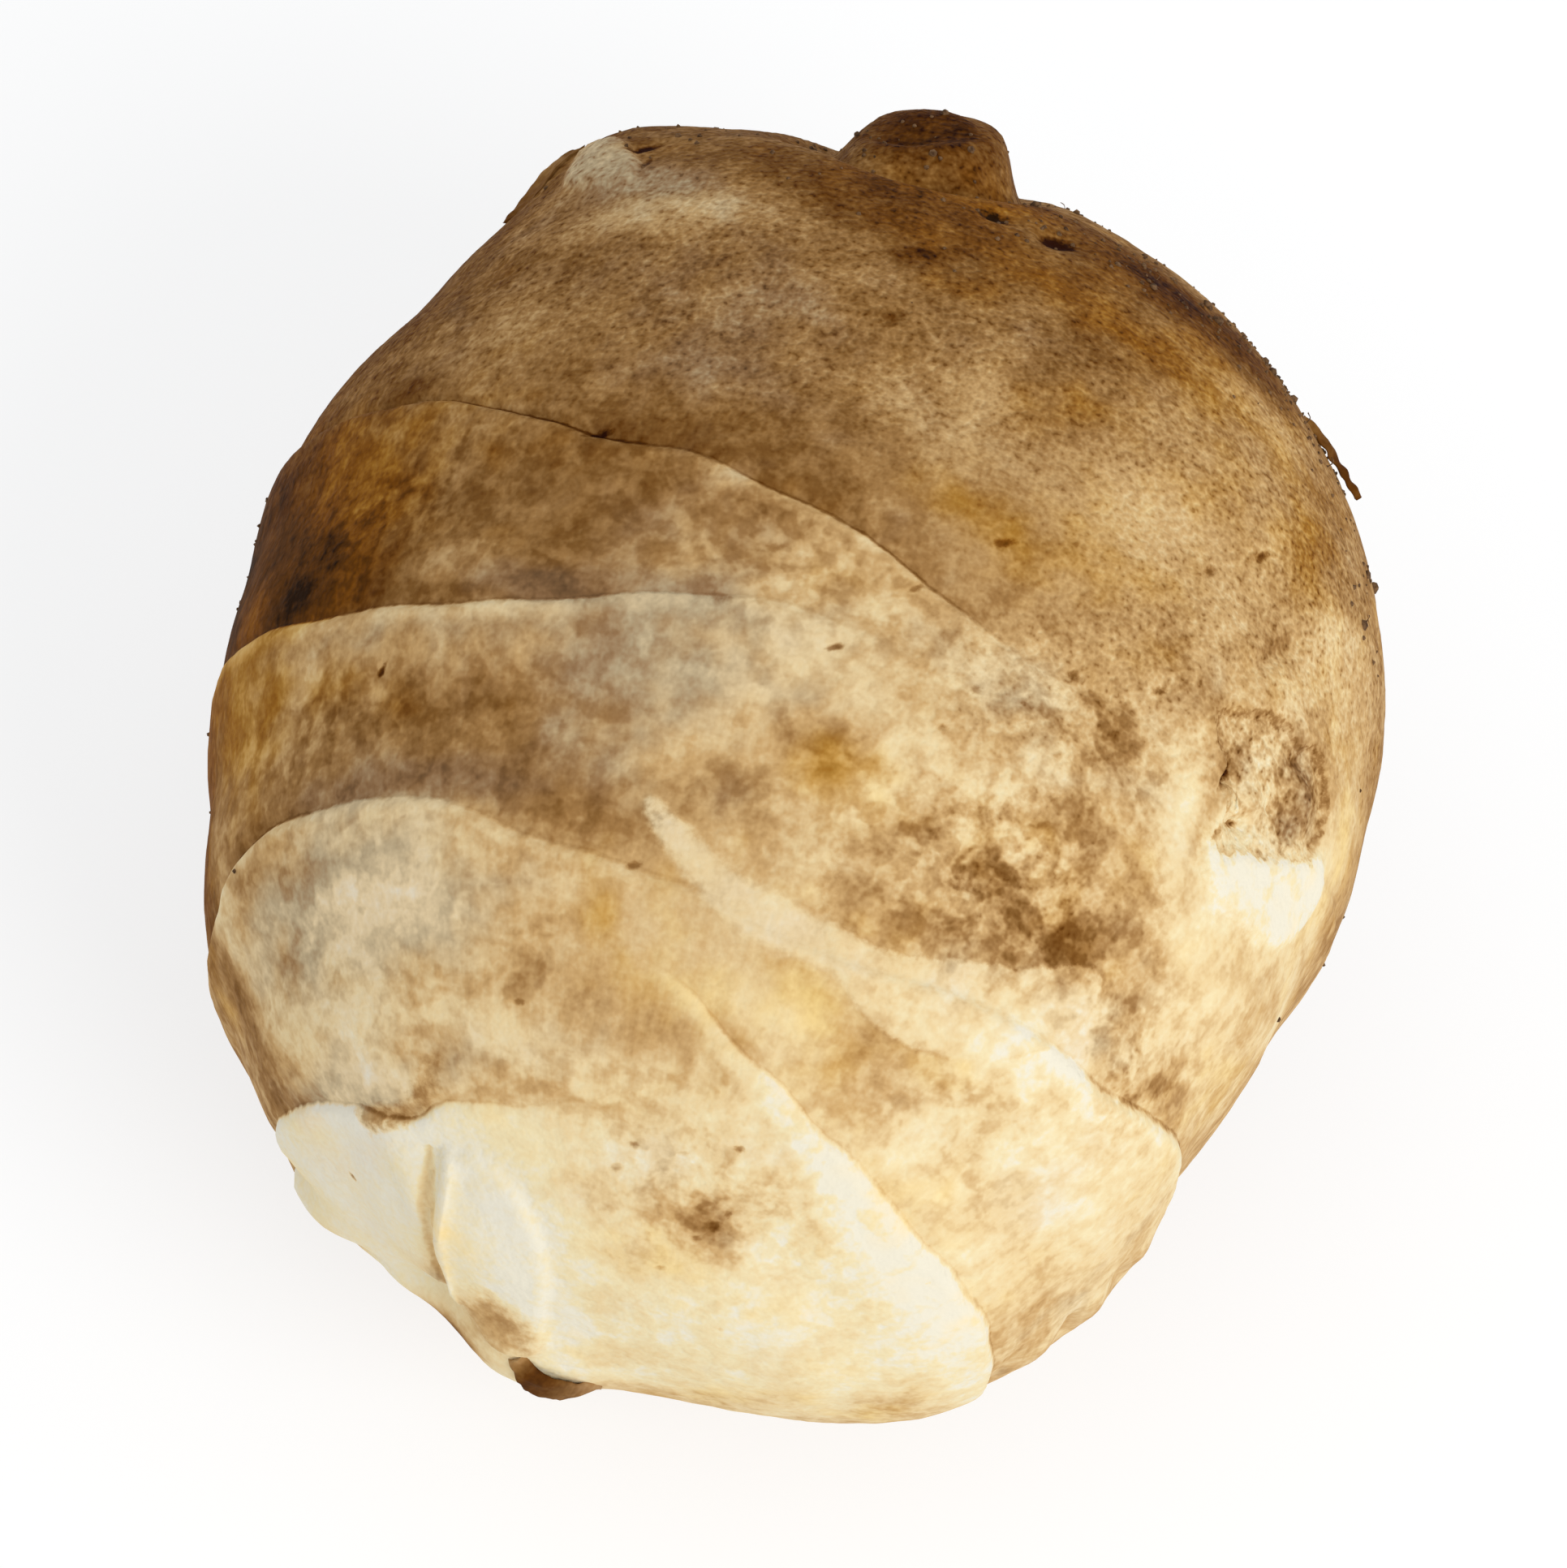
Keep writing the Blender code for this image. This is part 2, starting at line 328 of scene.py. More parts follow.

# Clouds are soft changes of colour without an edge, mostly stains, with painted shade and painted highlight
# where noted, listed from the runner end to the tip: along, around, half length and half width in mm, how
# much darker, how much more ochre (below 0 greyer), and the turn if any
clouds = {
    "runnerEnd": [
        (153, -3, 3.8, 3.8, 0.18, 0.1), (137, -5, 6.0, 2.0, 0.18, 0.1),  # dark round the stub
        (142, 12, 6.0, 2.4, 0.04, 0.7), (146, 14, 4.0, 1.6, 0.12, 0.1), (145, -12, 2.0, 1.4, -0.09, 0.0),
        (143, -6, 4.0, 1.2, -0.06, 0.0),
        (138, 38, 4.5, 2.2, 0.26, 0.0), (133, 52, 3.0, 2.0, 0.26, 0.2),  # dark right shoulder
        (136, 29, 2.6, 1.0, -0.08, 0.0), (133, 3, 2.6, 1.4, 0.06, 0.4),
        (131, -38, 2.6, 1.4, -0.14, -0.8), (131, -28, 2.4, 0.9, -0.06, -0.9),  # pink by the bud
        (132, -20, 2.2, 1.2, -0.06, 0.0), (131, -8, 3.4, 1.4, 0.07, 0.1),
    ],
    "shoulder": [
        (126, -30, 3.4, 1.4, -0.22, -0.2), (128, -20, 2.2, 1.0, -0.14, -0.3),  # pale under it
        (127, -47, 2.0, 2.0, -0.10, -0.2), (122, -39, 1.6, 1.4, -0.06, 0.0), (120, -46, 1.6, 1.2, 0.08, 0.0),
        (118, -19, 1.4, 1.0, 0.10, -0.2), (111, -44, 4.0, 4.0, -0.06, -0.2), (110, -37, 4.0, 1.6, -0.07, 0.0),
        (104, -48, 3.0, 1.0, 0.08, 0.1), (100, -58, 2.0, 3.0, -0.08, 0.3),
        (97, -48, 3.0, 1.6, -0.05, 0.6, -20), (98, -40, 3.0, 1.4, -0.09, 0.2), (99, -40, 3.0, 1.0, 0.05, 0.0),
        (100, -36, 2.4, 3.0, -0.07, 0.2),
        (117, -14, 5.0, 3.0, 0.00, -0.5), (117, -10, 5.0, 3.0, -0.04, -0.1),  # mauve grey
        (106, -10, 5.0, 3.0, 0.02, -0.4, 10), (121, -14, 2.2, 2.0, 0.08, 0.0),
        (109, -16, 3.0, 2.0, 0.10, 0.0), (104, -14, 2.6, 2.6, -0.12, -0.2), (98, -14, 5.0, 2.8, 0.12, 0.0),
        (98, -12, 3.4, 1.8, 0.07, 0.0), (119, 0, 3.0, 1.2, 0.05, 0.0), (130, 5, 3.0, 1.2, 0.07, 0.1),
        (127, 12, 4.0, 2.0, 0.09, 0.2), (127, 4, 1.0, 0.8, 0.14, 0.3), (124, 10, 1.2, 0.8, 0.14, 0.3, 20),
        (125, 10, 1.5, 1.2, -0.07, 0.0),
        (126, 32, 4.0, 2.4, 0.10, 0.3), (128, 28, 5.0, 3.0, 0.00, 0.5),  # ochre behind
        (129, 22, 2.4, 1.4, 0.05, 0.2), (122, 29, 4.0, 3.0, 0.0, -0.5), (122, 37, 2.6, 1.6, 0.06, 0.2),
        (120, 25, 2.6, 2.0, 0.08, 0.2), (120, 26, 3.0, 2.0, -0.04, -0.4), (118, 32, 2.4, 2.6, -0.08, 0.2),
        (118, 44, 4.0, 4.0, 0.00, 0.4), (115, 26, 2.6, 2.0, 0.06, 0.5, 60), (112, 23, 1.4, 1.3, 0.06, 0.2),
        (108, 15, 3.4, 3.0, -0.09, 0.0), (96, 9, 1.8, 1.5, -0.06, 0.0), (110, 9, 2.8, 2.6, -0.06, 0.0),
        (96, 8, 2.0, 1.6, 0.06, 0.0), (103, 18, 1.8, 1.6, -0.05, 0.0),
        (97, 16, 5.0, 0.9, 0.03, 0.5, -8), (103, 30, 3.0, 2.0, -0.04, 0.0),  # ochre streaks
        (98, 26, 4.0, 1.8, 0.07, 0.2), (98, 27, 4.0, 2.0, -0.05, 0.0), (99, 32, 5.0, 2.0, 0.05, 0.2),
        (104, 36, 4.4, 3.4, -0.13, 0.1), (98, 58, 3.0, 4.4, -0.13, 0.1),  # tan light on the right
        (113, 58, 3.0, 4.0, 0.00, 0.2), (108, 57, 2.0, 3.0, 0.05, 0.4), (106, 66, 2.0, 3.0, -0.08, 0.1),
        (128, 50, 4.0, 3.0, -0.07, 0.1), (125, 56, 1.6, 1.6, -0.08, 0.0), (122, 62, 2.0, 3.0, 0.14, 0.1),
        (122, 64, 2.0, 3.0, -0.06, 0.1), (110, 42, 2.0, 1.5, 0.06, 0.2),
        (101, 55, 2.4, 0.4, 0.14, 0.0, 50), (97, 49, 2.0, 0.4, 0.10, 0.0, 50),  # short dark streaks
        (106, 61, 1.6, 1.0, -0.14, -0.1, 40),
    ],
    "waist": [
        (88, -90, 10.0, 8.0, 0.03, 0.8), (86, -72, 6.0, 6.0, 0.04, 0.8),  # burnt ochre at the left
        (84, -56, 5.0, 3.0, 0.00, 0.8), (86, -59, 4.0, 3.0, 0.04, 0.6), (88, -58, 3.0, 1.4, 0.06, 0.6, 10),
        (84, -52, 4.0, 2.0, 0.10, 0.5, 20), (80, -55, 3.4, 1.2, 0.15, 0.3), (92, -50, 2.4, 2.4, -0.15, 0.2),
        (92, -48, 4.0, 2.0, 0.00, 0.5), (81, -67, 2.4, 2.0, -0.12, 0.0), (80, -35, 3.4, 1.0, -0.12, 0.1),
        (84, -35, 2.2, 1.6, -0.12, 0.1), (92, -31, 3.4, 1.2, -0.11, 0.1), (86, -18, 2.4, 1.4, 0.06, 0.0),
        (84, -20, 3.0, 0.9, 0.08, 0.0),
        (79, -24, 5.5, 0.9, 0.03, -0.9, -4), (80, -10, 3.0, 0.8, 0.04, -0.6, -8),  # mauve by the scar
        (90, -15, 8.0, 1.6, 0.03, 0.0), (92, -15, 1.4, 1.6, 0.06, 0.0), (85, -11, 2.4, 2.0, -0.07, -0.3),
        (80, -4, 1.4, 1.8, 0.12, -0.2),
        (93, -8, 3.0, 0.6, -0.10, -0.2, 30), (88, 4, 2.4, 0.6, -0.08, -0.2, 60),  # pale ribs
        (92, -6, 3.0, 1.0, 0.06, 0.0, 20), (88, -7, 1.0, 3.4, -0.11, 0.0), (90, -4, 1.8, 2.4, 0.13, -0.2),
        (85, 8, 1.6, 1.2, 0.08, 0.2), (86, 10, 1.8, 1.6, -0.09, 0.0), (94, 17, 2.4, 1.6, -0.08, 0.0),
        (94, 26, 2.6, 2.0, 0.05, 0.2), (96, 31, 3.4, 2.4, -0.12, 0.2), (83, 29, 2.6, 1.6, -0.04, -0.3),
        (82, 29, 2.8, 2.0, -0.12, -0.2), (79, 29, 1.2, 0.9, 0.08, 0.0), (86, 33, 2.4, 1.6, -0.10, 0.0),
        (80, 34, 4.0, 1.8, 0.06, -0.3), (81, 36, 2.8, 1.6, 0.11, 0.5), (86, 42, 2.6, 1.8, -0.07, 0.0),
        (91, 42, 3.0, 0.7, 0.08, 0.2, -10),
        (96, 48, 2.2, 2.2, -0.10, 0.0), (80, 49, 1.2, 3.2, -0.20, 0.0, 10),  # cream strip
        (80, 57, 1.0, 1.4, -0.10, 0.0), (81.5, 57.5, 1.3, 1.3, -0.22, 0.2),  # inside the raw patch
        (83, 64, 1.4, 2.2, 0.06, -0.3), (90, 64, 2.0, 1.4, 0.22, -0.4), (88, 66, 1.8, 2.4, 0.08, -0.9),
        (92, 70, 2.6, 5.0, -0.14, 0.2), (90, 76, 2.4, 5.0, -0.12, 0.2), (92, 78, 2.6, 5.0, -0.10, 0.2),
    ],
    "belly": [
        (65, -84, 2.0, 5.0, 0.10, 0.9), (70, -66, 3.0, 2.0, 0.00, 0.6),  # ochre at the left
        (70, -60, 1.6, 1.4, 0.08, 0.6), (66, -58, 2.0, 1.2, 0.08, 0.3), (64, -60, 2.2, 2.2, -0.08, 0.0),
        (60, -56, 3.0, 2.4, 0.05, 0.1), (58, -62, 2.6, 2.0, 0.07, 0.2), (77, -54, 1.8, 1.5, -0.10, 0.0),
        (72, -50, 2.2, 1.4, -0.11, 0.0), (78, -49, 5.0, 1.0, 0.10, 0.6), (75, -46, 5.0, 1.4, 0.00, -0.7),
        (69, -48, 1.4, 1.8, 0.14, 0.6), (66, -37, 1.8, 2.0, 0.12, 0.4), (72, -38, 5.0, 1.0, -0.07, 0.0),
        (68, -32, 3.0, 1.4, -0.09, 0.0), (68, -30, 3.6, 1.2, -0.05, 0.0), (68, -31, 3.6, 1.3, 0.20, 0.0),
        (61, -44, 4.0, 1.5, 0.06, -0.3), (63, -44, 2.2, 1.1, 0.08, -0.2), (62, -36, 2.0, 1.2, -0.05, 0.0),
        (59, -40, 5.0, 0.8, 0.10, -1.0, 4), (58, -26, 3.0, 0.8, 0.10, -0.8),  # mauve by the scar
        (59, -33, 2.6, 1.4, 0.06, 0.0), (59, -30, 4.0, 1.6, -0.04, 0.0), (63, -28, 4.0, 2.0, 0.10, 0.1),
        (66, -26, 2.0, 1.4, 0.08, 0.0), (77, -21, 1.8, 1.0, 0.09, 0.0), (62, -20, 3.0, 1.6, 0.10, 0.0),
        (64, -17, 3.4, 1.0, -0.13, -0.3),
        (73, -16, 6.0, 2.4, 0.00, -0.5), (72, -7, 6.0, 3.0, 0.03, -0.5),  # grey pale skin
        (65, -12, 3.0, 2.4, 0.11, -0.1), (61, -11, 2.0, 1.8, 0.10, -0.2), (56, -9, 3.4, 1.1, 0.13, 0.1, 6),
        (57, -11, 5.0, 1.6, 0.07, 0.0), (59, -9, 1.5, 1.6, -0.16, -0.3), (61, -8, 2.0, 0.8, -0.06, 0.0),
        (59, -6, 2.4, 1.2, 0.08, 0.0), (76, -7, 1.2, 1.8, -0.07, 0.0), (76, 9, 4.0, 3.0, -0.07, -0.3),
        (56, 2, 2.0, 0.8, -0.08, 0.0), (62, 3, 1.4, 1.0, 0.14, 0.0), (72, 6, 1.4, 1.3, -0.07, 0.0),
        (64, 8, 1.4, 1.2, -0.06, 0.0),
        (69, 11, 2.0, 1.2, 0.20, 0.7), (66, 13, 2.0, 1.2, 0.10, 0.7, 20),  # ochre stain
        (64, 17, 1.7, 1.7, -0.16, 0.0), (62, 18, 2.6, 1.2, 0.09, 0.0), (57, 18, 1.8, 1.0, -0.11, 0.0),
        (57, 22, 2.4, 1.0, 0.06, 0.0), (70, 20, 2.0, 2.0, -0.10, 0.0), (75, 21, 1.7, 1.3, -0.08, 0.0),
        (72, 26, 1.7, 1.4, 0.12, -0.2), (69, 28, 2.0, 1.4, -0.08, 0.0), (76, 33, 3.0, 1.4, -0.07, 0.0, 40),
        (72, 38, 2.2, 1.2, -0.07, 0.0), (76, 40, 3.4, 1.6, 0.10, -0.3), (78, 45, 1.6, 1.4, -0.06, 0.0),
        (69, 58, 1.6, 3.0, -0.18, 0.0), (71, 68, 2.2, 2.8, -0.08, 0.0), (64, 80, 3.0, 2.0, 0.00, 0.6),
        (76, 86, 2.4, 3.4, -0.09, 0.2), (74, 84, 2.0, 3.0, -0.07, 0.0),
    ],
    "bellyPatch": [
        (62, 30, 5.0, 3.0, 0.05, 0.3), (62, 25, 1.9, 1.3, 0.12, 0.2), (66, 31, 1.7, 0.9, -0.08, 0.0),
        (60, 30, 1.2, 0.8, 0.12, -0.2), (58, 34, 4.5, 1.3, 0.10, 0.1, 8), (56, 34, 1.7, 1.4, 0.06, -0.6),
        (63.5, 33, 1.3, 1.1, -0.20, 0.0), (64, 34, 1.3, 1.0, 0.20, -0.3), (58, 37, 1.0, 0.8, -0.12, 0.0),
        (62, 37, 1.5, 1.2, 0.08, 0.0), (60, 38, 1.2, 1.2, -0.26, 0.0), (58, 40, 3.0, 0.7, 0.12, -0.3, 20),
        (62.5, 41, 2.4, 1.8, 0.26, 0.5), (63, 46, 2.4, 1.8, 0.13, 0.0),  # its darkest part
        (61, 47, 1.2, 1.2, 0.12, -0.3), (58, 47, 1.6, 1.2, 0.12, -0.5), (58, 51, 2.0, 2.2, -0.16, 0.0),
        (62, 56, 2.0, 1.2, 0.08, 0.3), (64, 55, 1.8, 1.4, 0.16, -0.5), (58, 56, 3.0, 1.8, 0.14, -0.4, 40),
        (56, 60, 1.4, 1.8, -0.07, 0.0), (57, 66, 2.4, 1.4, 0.16, -0.1, 30),
    ],
    "neck": [
        (46, -88, 1.0, 3.0, -0.10, 0.2), (46, -80, 1.2, 5.0, 0.10, 0.0),  # left rim
        (45, -76, 1.5, 2.0, 0.10, 0.2), (50, -74, 1.5, 4.0, -0.23, -0.2), (54, -64, 3.0, 1.6, 0.10, 0.0),
        (42, -61, 1.8, 2.2, 0.14, 0.0), (46, -58, 2.4, 3.0, 0.07, 0.0), (42, -56, 3.0, 2.0, -0.12, 0.0),
        (48, -58, 5.0, 4.0, 0.00, -0.6), (46, -34, 5.0, 4.0, 0.00, -0.5),  # grey skin
        (49, -42, 4.0, 2.2, -0.12, -0.9), (48, -38, 2.4, 1.6, -0.08, -0.2), (51, -41, 3.0, 1.6, 0.05, 0.1),
        (53, -47, 3.0, 2.0, 0.07, 0.0), (46, -27, 2.4, 1.6, 0.09, 0.0), (46, -27, 2.2, 1.3, -0.06, 0.0),
        (44, -25, 1.6, 1.2, -0.07, 0.0), (50, -19, 3.4, 1.2, 0.07, 0.0), (43, -20, 3.0, 2.0, 0.06, 0.3),
        (54, -4, 2.0, 1.2, 0.07, 0.0), (41, -10, 2.4, 1.2, 0.06, 0.0),
        (47, -9, 0.9, 1.3, 0.12, 0.9), (44, 0, 2.0, 3.2, 0.02, 0.5),  # ochre by the strap
        (47, -3, 1.6, 1.6, -0.07, 0.0), (46, 19, 3.6, 2.0, 0.08, 0.4, 20), (42, 17, 2.6, 1.8, -0.12, 0.2),
        (44, 24, 2.2, 1.8, -0.13, 0.0), (45, 33, 3.6, 2.4, 0.12, 0.3, 20), (44, 30, 2.0, 2.6, 0.06, 0.1),
        (43, 38, 3.4, 2.0, 0.07, 0.0),
        # partly a painted highlight: the pale band where the belly scar's raised ledge catches the light
        (51, 41, 4.6, 1.2, -0.20, -0.2, 12), (51, 45, 2.4, 1.4, -0.10, 0.0, 20),  # bright by the scar
        (51, 31, 4.0, 1.0, 0.03, 0.0), (49, 58, 2.2, 1.4, 0.06, 0.0), (46, 66, 2.4, 2.6, -0.05, -0.7),
        (50, 70, 2.6, 2.0, -0.04, 0.4), (42, 76, 5.0, 3.6, -0.07, -0.1), (47, 91, 1.6, 1.8, 0.08, 0.0),
        (42, 98, 3.0, 3.0, -0.06, 0.1),
    ],
    "leafEdges": [
        (40, -68, 3.0, 1.6, -0.05, 0.0), (38, -54, 2.0, 1.2, -0.16, 0.0),
        (34, -70, 2.6, 0.8, 0.12, -0.3, 10), (31, -56, 1.6, 0.6, 0.16, -0.3),  # over the white leaf
        (32, -54, 2.8, 1.5, -0.22, -0.8), (37, -25, 3.0, 1.4, 0.07, 0.0), (33, -24, 5.0, 1.2, 0.14, -0.3, 4),
        (35, -20, 3.4, 1.2, -0.13, 0.0), (33, -7, 5.0, 1.2, -0.19, 0.0), (39, 0, 5.5, 0.9, 0.07, 0.0),
        (36, 2, 3.0, 1.2, 0.12, -0.1, 20), (36, 0, 4.0, 1.2, 0.06, 0.0, 10), (36, 3, 2.4, 1.0, -0.08, 0.0),
        (34, 6, 3.4, 1.4, 0.07, 0.0, 10), (36, 12, 2.4, 1.0, 0.10, 0.1, 30), (33, 19, 4.6, 1.2, 0.08, 0.1),
        (33, 36, 3.0, 1.5, -0.08, 0.0, 20), (34, 56, 2.2, 1.4, 0.07, 0.1, 30), (35, 56, 3.2, 1.6, -0.16, 0.0),
        (39, 58, 3.0, 2.0, 0.13, 0.2, 40), (38, 77, 2.4, 1.6, 0.08, 0.1), (38, 90, 3.0, 2.4, 0.14, 0.3),
        (40, 94, 2.4, 4.0, 0.00, -0.6), (38, -100, 1.0, 2.0, -0.06, 0.2),
    ],
    "tip": [
        (17, -128, 1.0, 1.4, 0.48, 0.0), (22, -126, 1.0, 2.0, 0.45, 0.0),
        (31.5, -117, 1.4, 0.8, 0.34, 0.8), (35, -100, 1.2, 1.6, 0.10, 0.7),  # edge of the white leaf
        (28, -84, 7.0, 4.0, 0.02, -0.6), (27, -66, 2.6, 1.0, 0.05, -0.6),
        (12, -112, 1.6, 1.2, 0.20, 0.0), (12, -104, 1.2, 2.2, 0.22, 0.3),  # under the bud scale
        (18, -104, 1.2, 1.6, 0.10, 0.0), (17, -96, 1.8, 0.5, 0.18, -0.4), (13.5, -78, 1.0, 1.8, 0.12, 0.4),
        # painted shade on the bud scale beside its raised fold, olive in hue
        (16, -60, 1.6, 2.2, 0.05, 0.3), (16.5, -58, 0.9, 1.8, 0.12, 0.5),  # olive on the bud scale
        (15, -49, 2.0, 1.4, 0.04, 0.4), (19.5, -47, 0.8, 1.6, 0.14, 0.5), (12, -40, 3.4, 4.0, -0.08, 0.0),
        (16, -34, 2.4, 3.0, -0.10, -0.3), (30, -10, 3.0, 1.2, 0.06, 0.2), (26, 8, 3.0, 2.0, -0.05, -0.5),
        (22, 13, 3.0, 2.0, 0.06, 0.1), (30, 18, 3.6, 1.0, 0.05, -0.3), (14, 20, 3.0, 1.6, 0.05, 0.4),
        (21, 25, 1.4, 1.2, 0.32, 0.1), (21, 26, 2.0, 1.6, -0.09, -0.5),  # soft brown spot
        (23, 22, 1.6, 1.3, 0.08, 0.2), (18, 30, 1.6, 1.2, 0.12, 0.2), (27, 28, 3.0, 2.0, 0.08, 0.2),
        (12, 62, 3.0, 2.4, -0.04, -0.1), (26, 111, 3.0, 1.2, 0.16, 0.4), (14, 140, 4.0, 1.2, 0.12, 0.4),
        (5, 174, 4.0, 1.4, -0.06, 0.0), (7, 172, 4.0, 1.2, -0.08, 0.0),
    ],
}

# Places with a clear edge. stain and tint are their colour, which in budCap and budCleft is partly painted
# shade, hold is how far it covers the skin's, soft and ragged are the edge's width and roughness in mm, line
# is how dark the edge is, a painted shade line along the step at the edge, rise is how far the place stands
# up, in mm, and rounds is how many times its corners are rounded off. plainPatch has what a place doesn't
# say.
plainPatch = {"rounds": 3, "tint": 0.0, "line": 0.0, "rise": 0.0}
patches = {
    "strap": {
        "outline": [(59, -6), (57, -2), (55.3, 2), (53.5, 7), (52.8, 14), (52.3, 20), (52, 26), (51.3, 31),
                    (49.5, 27), (48.8, 20), (48.3, 12), (50, 5), (53, -1), (57, -6)],
        "rounds": 2, "stain": 0.20, "tint": -0.8, "hold": 0.8, "soft": 0.3, "ragged": 0.9, "rise": 0.10,
    },
    "bellyPatch": {
        "outline": [(61, 17), (65, 25), (70, 31), (75, 37), (75, 46), (70, 52), (63, 54), (58, 48), (55, 40),
                    (51, 32), (50, 24), (54, 16)],
        "stain": 0.49, "tint": 0.1, "hold": 0.6, "soft": 0.6, "ragged": 2.6,
    },
    "underArc": {
        "outline": [(53, 17), (52.3, 22), (52.3, 27), (54, 32), (56, 38), (58.5, 44), (62, 49.5), (60, 52),
                    (55, 51), (50, 46), (46.5, 38), (45.5, 30), (48, 22)],
        "stain": 0.19, "tint": -0.5, "hold": 0.55, "soft": 0.12, "ragged": 0.6, "line": 0.12, "rise": 0.10,
    },
    "tornFlap": {
        "outline": [(79, 53), (82, 58), (84, 64), (87, 69), (87, 74), (83, 76), (78, 73), (75, 67), (74, 60),
                    (75, 54)],
        "rounds": 2, "stain": -0.04, "hold": 0.9, "soft": 0.6, "ragged": 1.6, "rise": 0.18,
    },
    # its dark edge line is painted shade along the torn, sunken edge
    "rawPatch": {
        "outline": [(90, 49), (92, 53), (94, 57), (93, 61), (95, 64), (93, 68), (90, 70), (86, 70), (84, 67),
                    (82.5, 64), (81, 62), (80, 58), (78, 56.5), (78, 54.5), (81, 55.5), (82.5, 54.5),
                    (83, 57), (84.5, 55), (84, 52.5), (86, 53.5), (87.5, 50)],
        "rounds": 1, "stain": 0.41, "tint": -0.3, "hold": 0.6, "soft": 0.12, "ragged": 1.2, "line": 0.6,
        "rise": -0.32,
    },
    # the bud's white cap: its darker, greyer colour is partly painted shade on a white scale
    "budCap": {
        "outline": [(130, -35), (131, -46), (134, -50), (138, -52), (139, -48), (137, -42), (133, -36)],
        "rounds": 2, "stain": 0.38, "tint": -1.1, "hold": 0.85, "soft": 0.5, "ragged": 0.8, "rise": 0.30,
    },
    "stubHollow": {
        "outline": [(153, -12), (155, -3), (152, 5), (147, 5), (145, -2), (147, -12)],
        "stain": 0.90, "tint": 0.2, "hold": 0.85, "soft": 0.5, "ragged": 0.8,
    },
    # the groove beside the bud scale: its darker fill and dark edge line are painted shade in the groove
    "budCleft": {
        "outline": [(26, -45), (22, -57), (19.2, -70), (17.3, -89), (16.3, -111), (14.8, -111), (15.7, -88),
                    (17.8, -68), (21, -55)],
        "rounds": 2, "stain": 0.30, "tint": 0.2, "hold": 0.7, "soft": 0.25, "ragged": 0.3, "line": 0.5,
        "rise": -0.30,
    },
    "tipScale": {
        "outline": [(24, -42), (20, -50), (17, -64), (15, -84), (14, -106), (12, -122), (8, -134), (6, -118),
                    (6, -70), (8, -40), (13, -27), (19, -27), (23, -34)],
        "stain": 0.05, "tint": -0.4, "hold": 0.55, "soft": 0.5, "ragged": 0.8, "rise": 0.30,
    },
    "scaleBase": {
        "outline": [(14, -107), (12.5, -94), (11, -84), (8, -92), (7, -118), (9, -128), (12, -122)],
        "stain": 0.54, "tint": 0.1, "hold": 0.8, "soft": 1.0, "ragged": 1.8,
    },
    "leafFold": {
        "outline": [(24.5, -43), (21, -51), (18, -65), (16, -86), (15, -107), (14, -106), (15, -84),
                    (17, -63), (20, -49), (23.5, -41)],
        "stain": 0.04, "tint": 0.2, "hold": 0.9, "soft": 0.12, "ragged": 0.2, "rise": 0.50,
    },
    "redLoop": {
        "outline": [(28, -60), (30.5, -61), (30.5, -55), (29, -49), (30.5, -43), (34, -37), (32.5, -35.5),
                    (28.8, -42), (27.3, -48), (28.3, -54)],
        "rounds": 2, "stain": 0.52, "hold": 0.9, "soft": 0.4, "ragged": 1.4,
    },
}
patches = {name: {**plainPatch, **patch} for name, patch in patches.items()}

# Where the skin is more or less blotchy: along, around, half length and half width in mm, turn, how
# much.
blotchySpots = [
    (86, -62, 6.0, 6.0, 0, -0.22), (86, -90, 9.0, 9.0, 0, -0.15),
    (63, 34, 6.0, 3.5, 0, 0.7), (88, 60, 3.0, 3.0, 0, 0.8),
    (80, 36, 4.0, 3.0, 0, 0.4), (58, 62, 4.0, 3.0, 0, 0.4),
    (44, 50, 5.0, 4.0, 0, 0.3), (24, 18, 5.0, 3.0, 0, 0.4),
    (48, -50, 4.0, 4.0, 0, 0.2), (66, -50, 6.0, 2.5, 0, 0.3),
    (90, -50, 6.0, 3.0, 0, 0.3), (88, 5, 5.0, 3.0, 0, 0.3),
    (46, 10, 4.0, 2.5, 0, -0.3), (44, 0, 3.0, 4.0, 0, -0.3),
    (106, 36, 5.0, 4.0, 0, -0.2), (95, 20, 5.0, 3.0, 0, -0.2),
]

# Where the skin is rough beyond the runner end, which is rough all over.
roughSpots = [
    (90, 40, 7.0, 5.0, 30, 1.1), (100, 60, 4.0, 7.0, 0, 0.5),
    (64, 36, 5.0, 3.5, 0, 0.7), (80, 28, 3.0, 3.0, 0, 0.4),
    (56, 60, 3.0, 2.6, 0, 0.5), (88, -50, 6.0, 3.0, 0, 0.4),
    (22, 20, 4.0, 3.0, 0, 0.2),
]

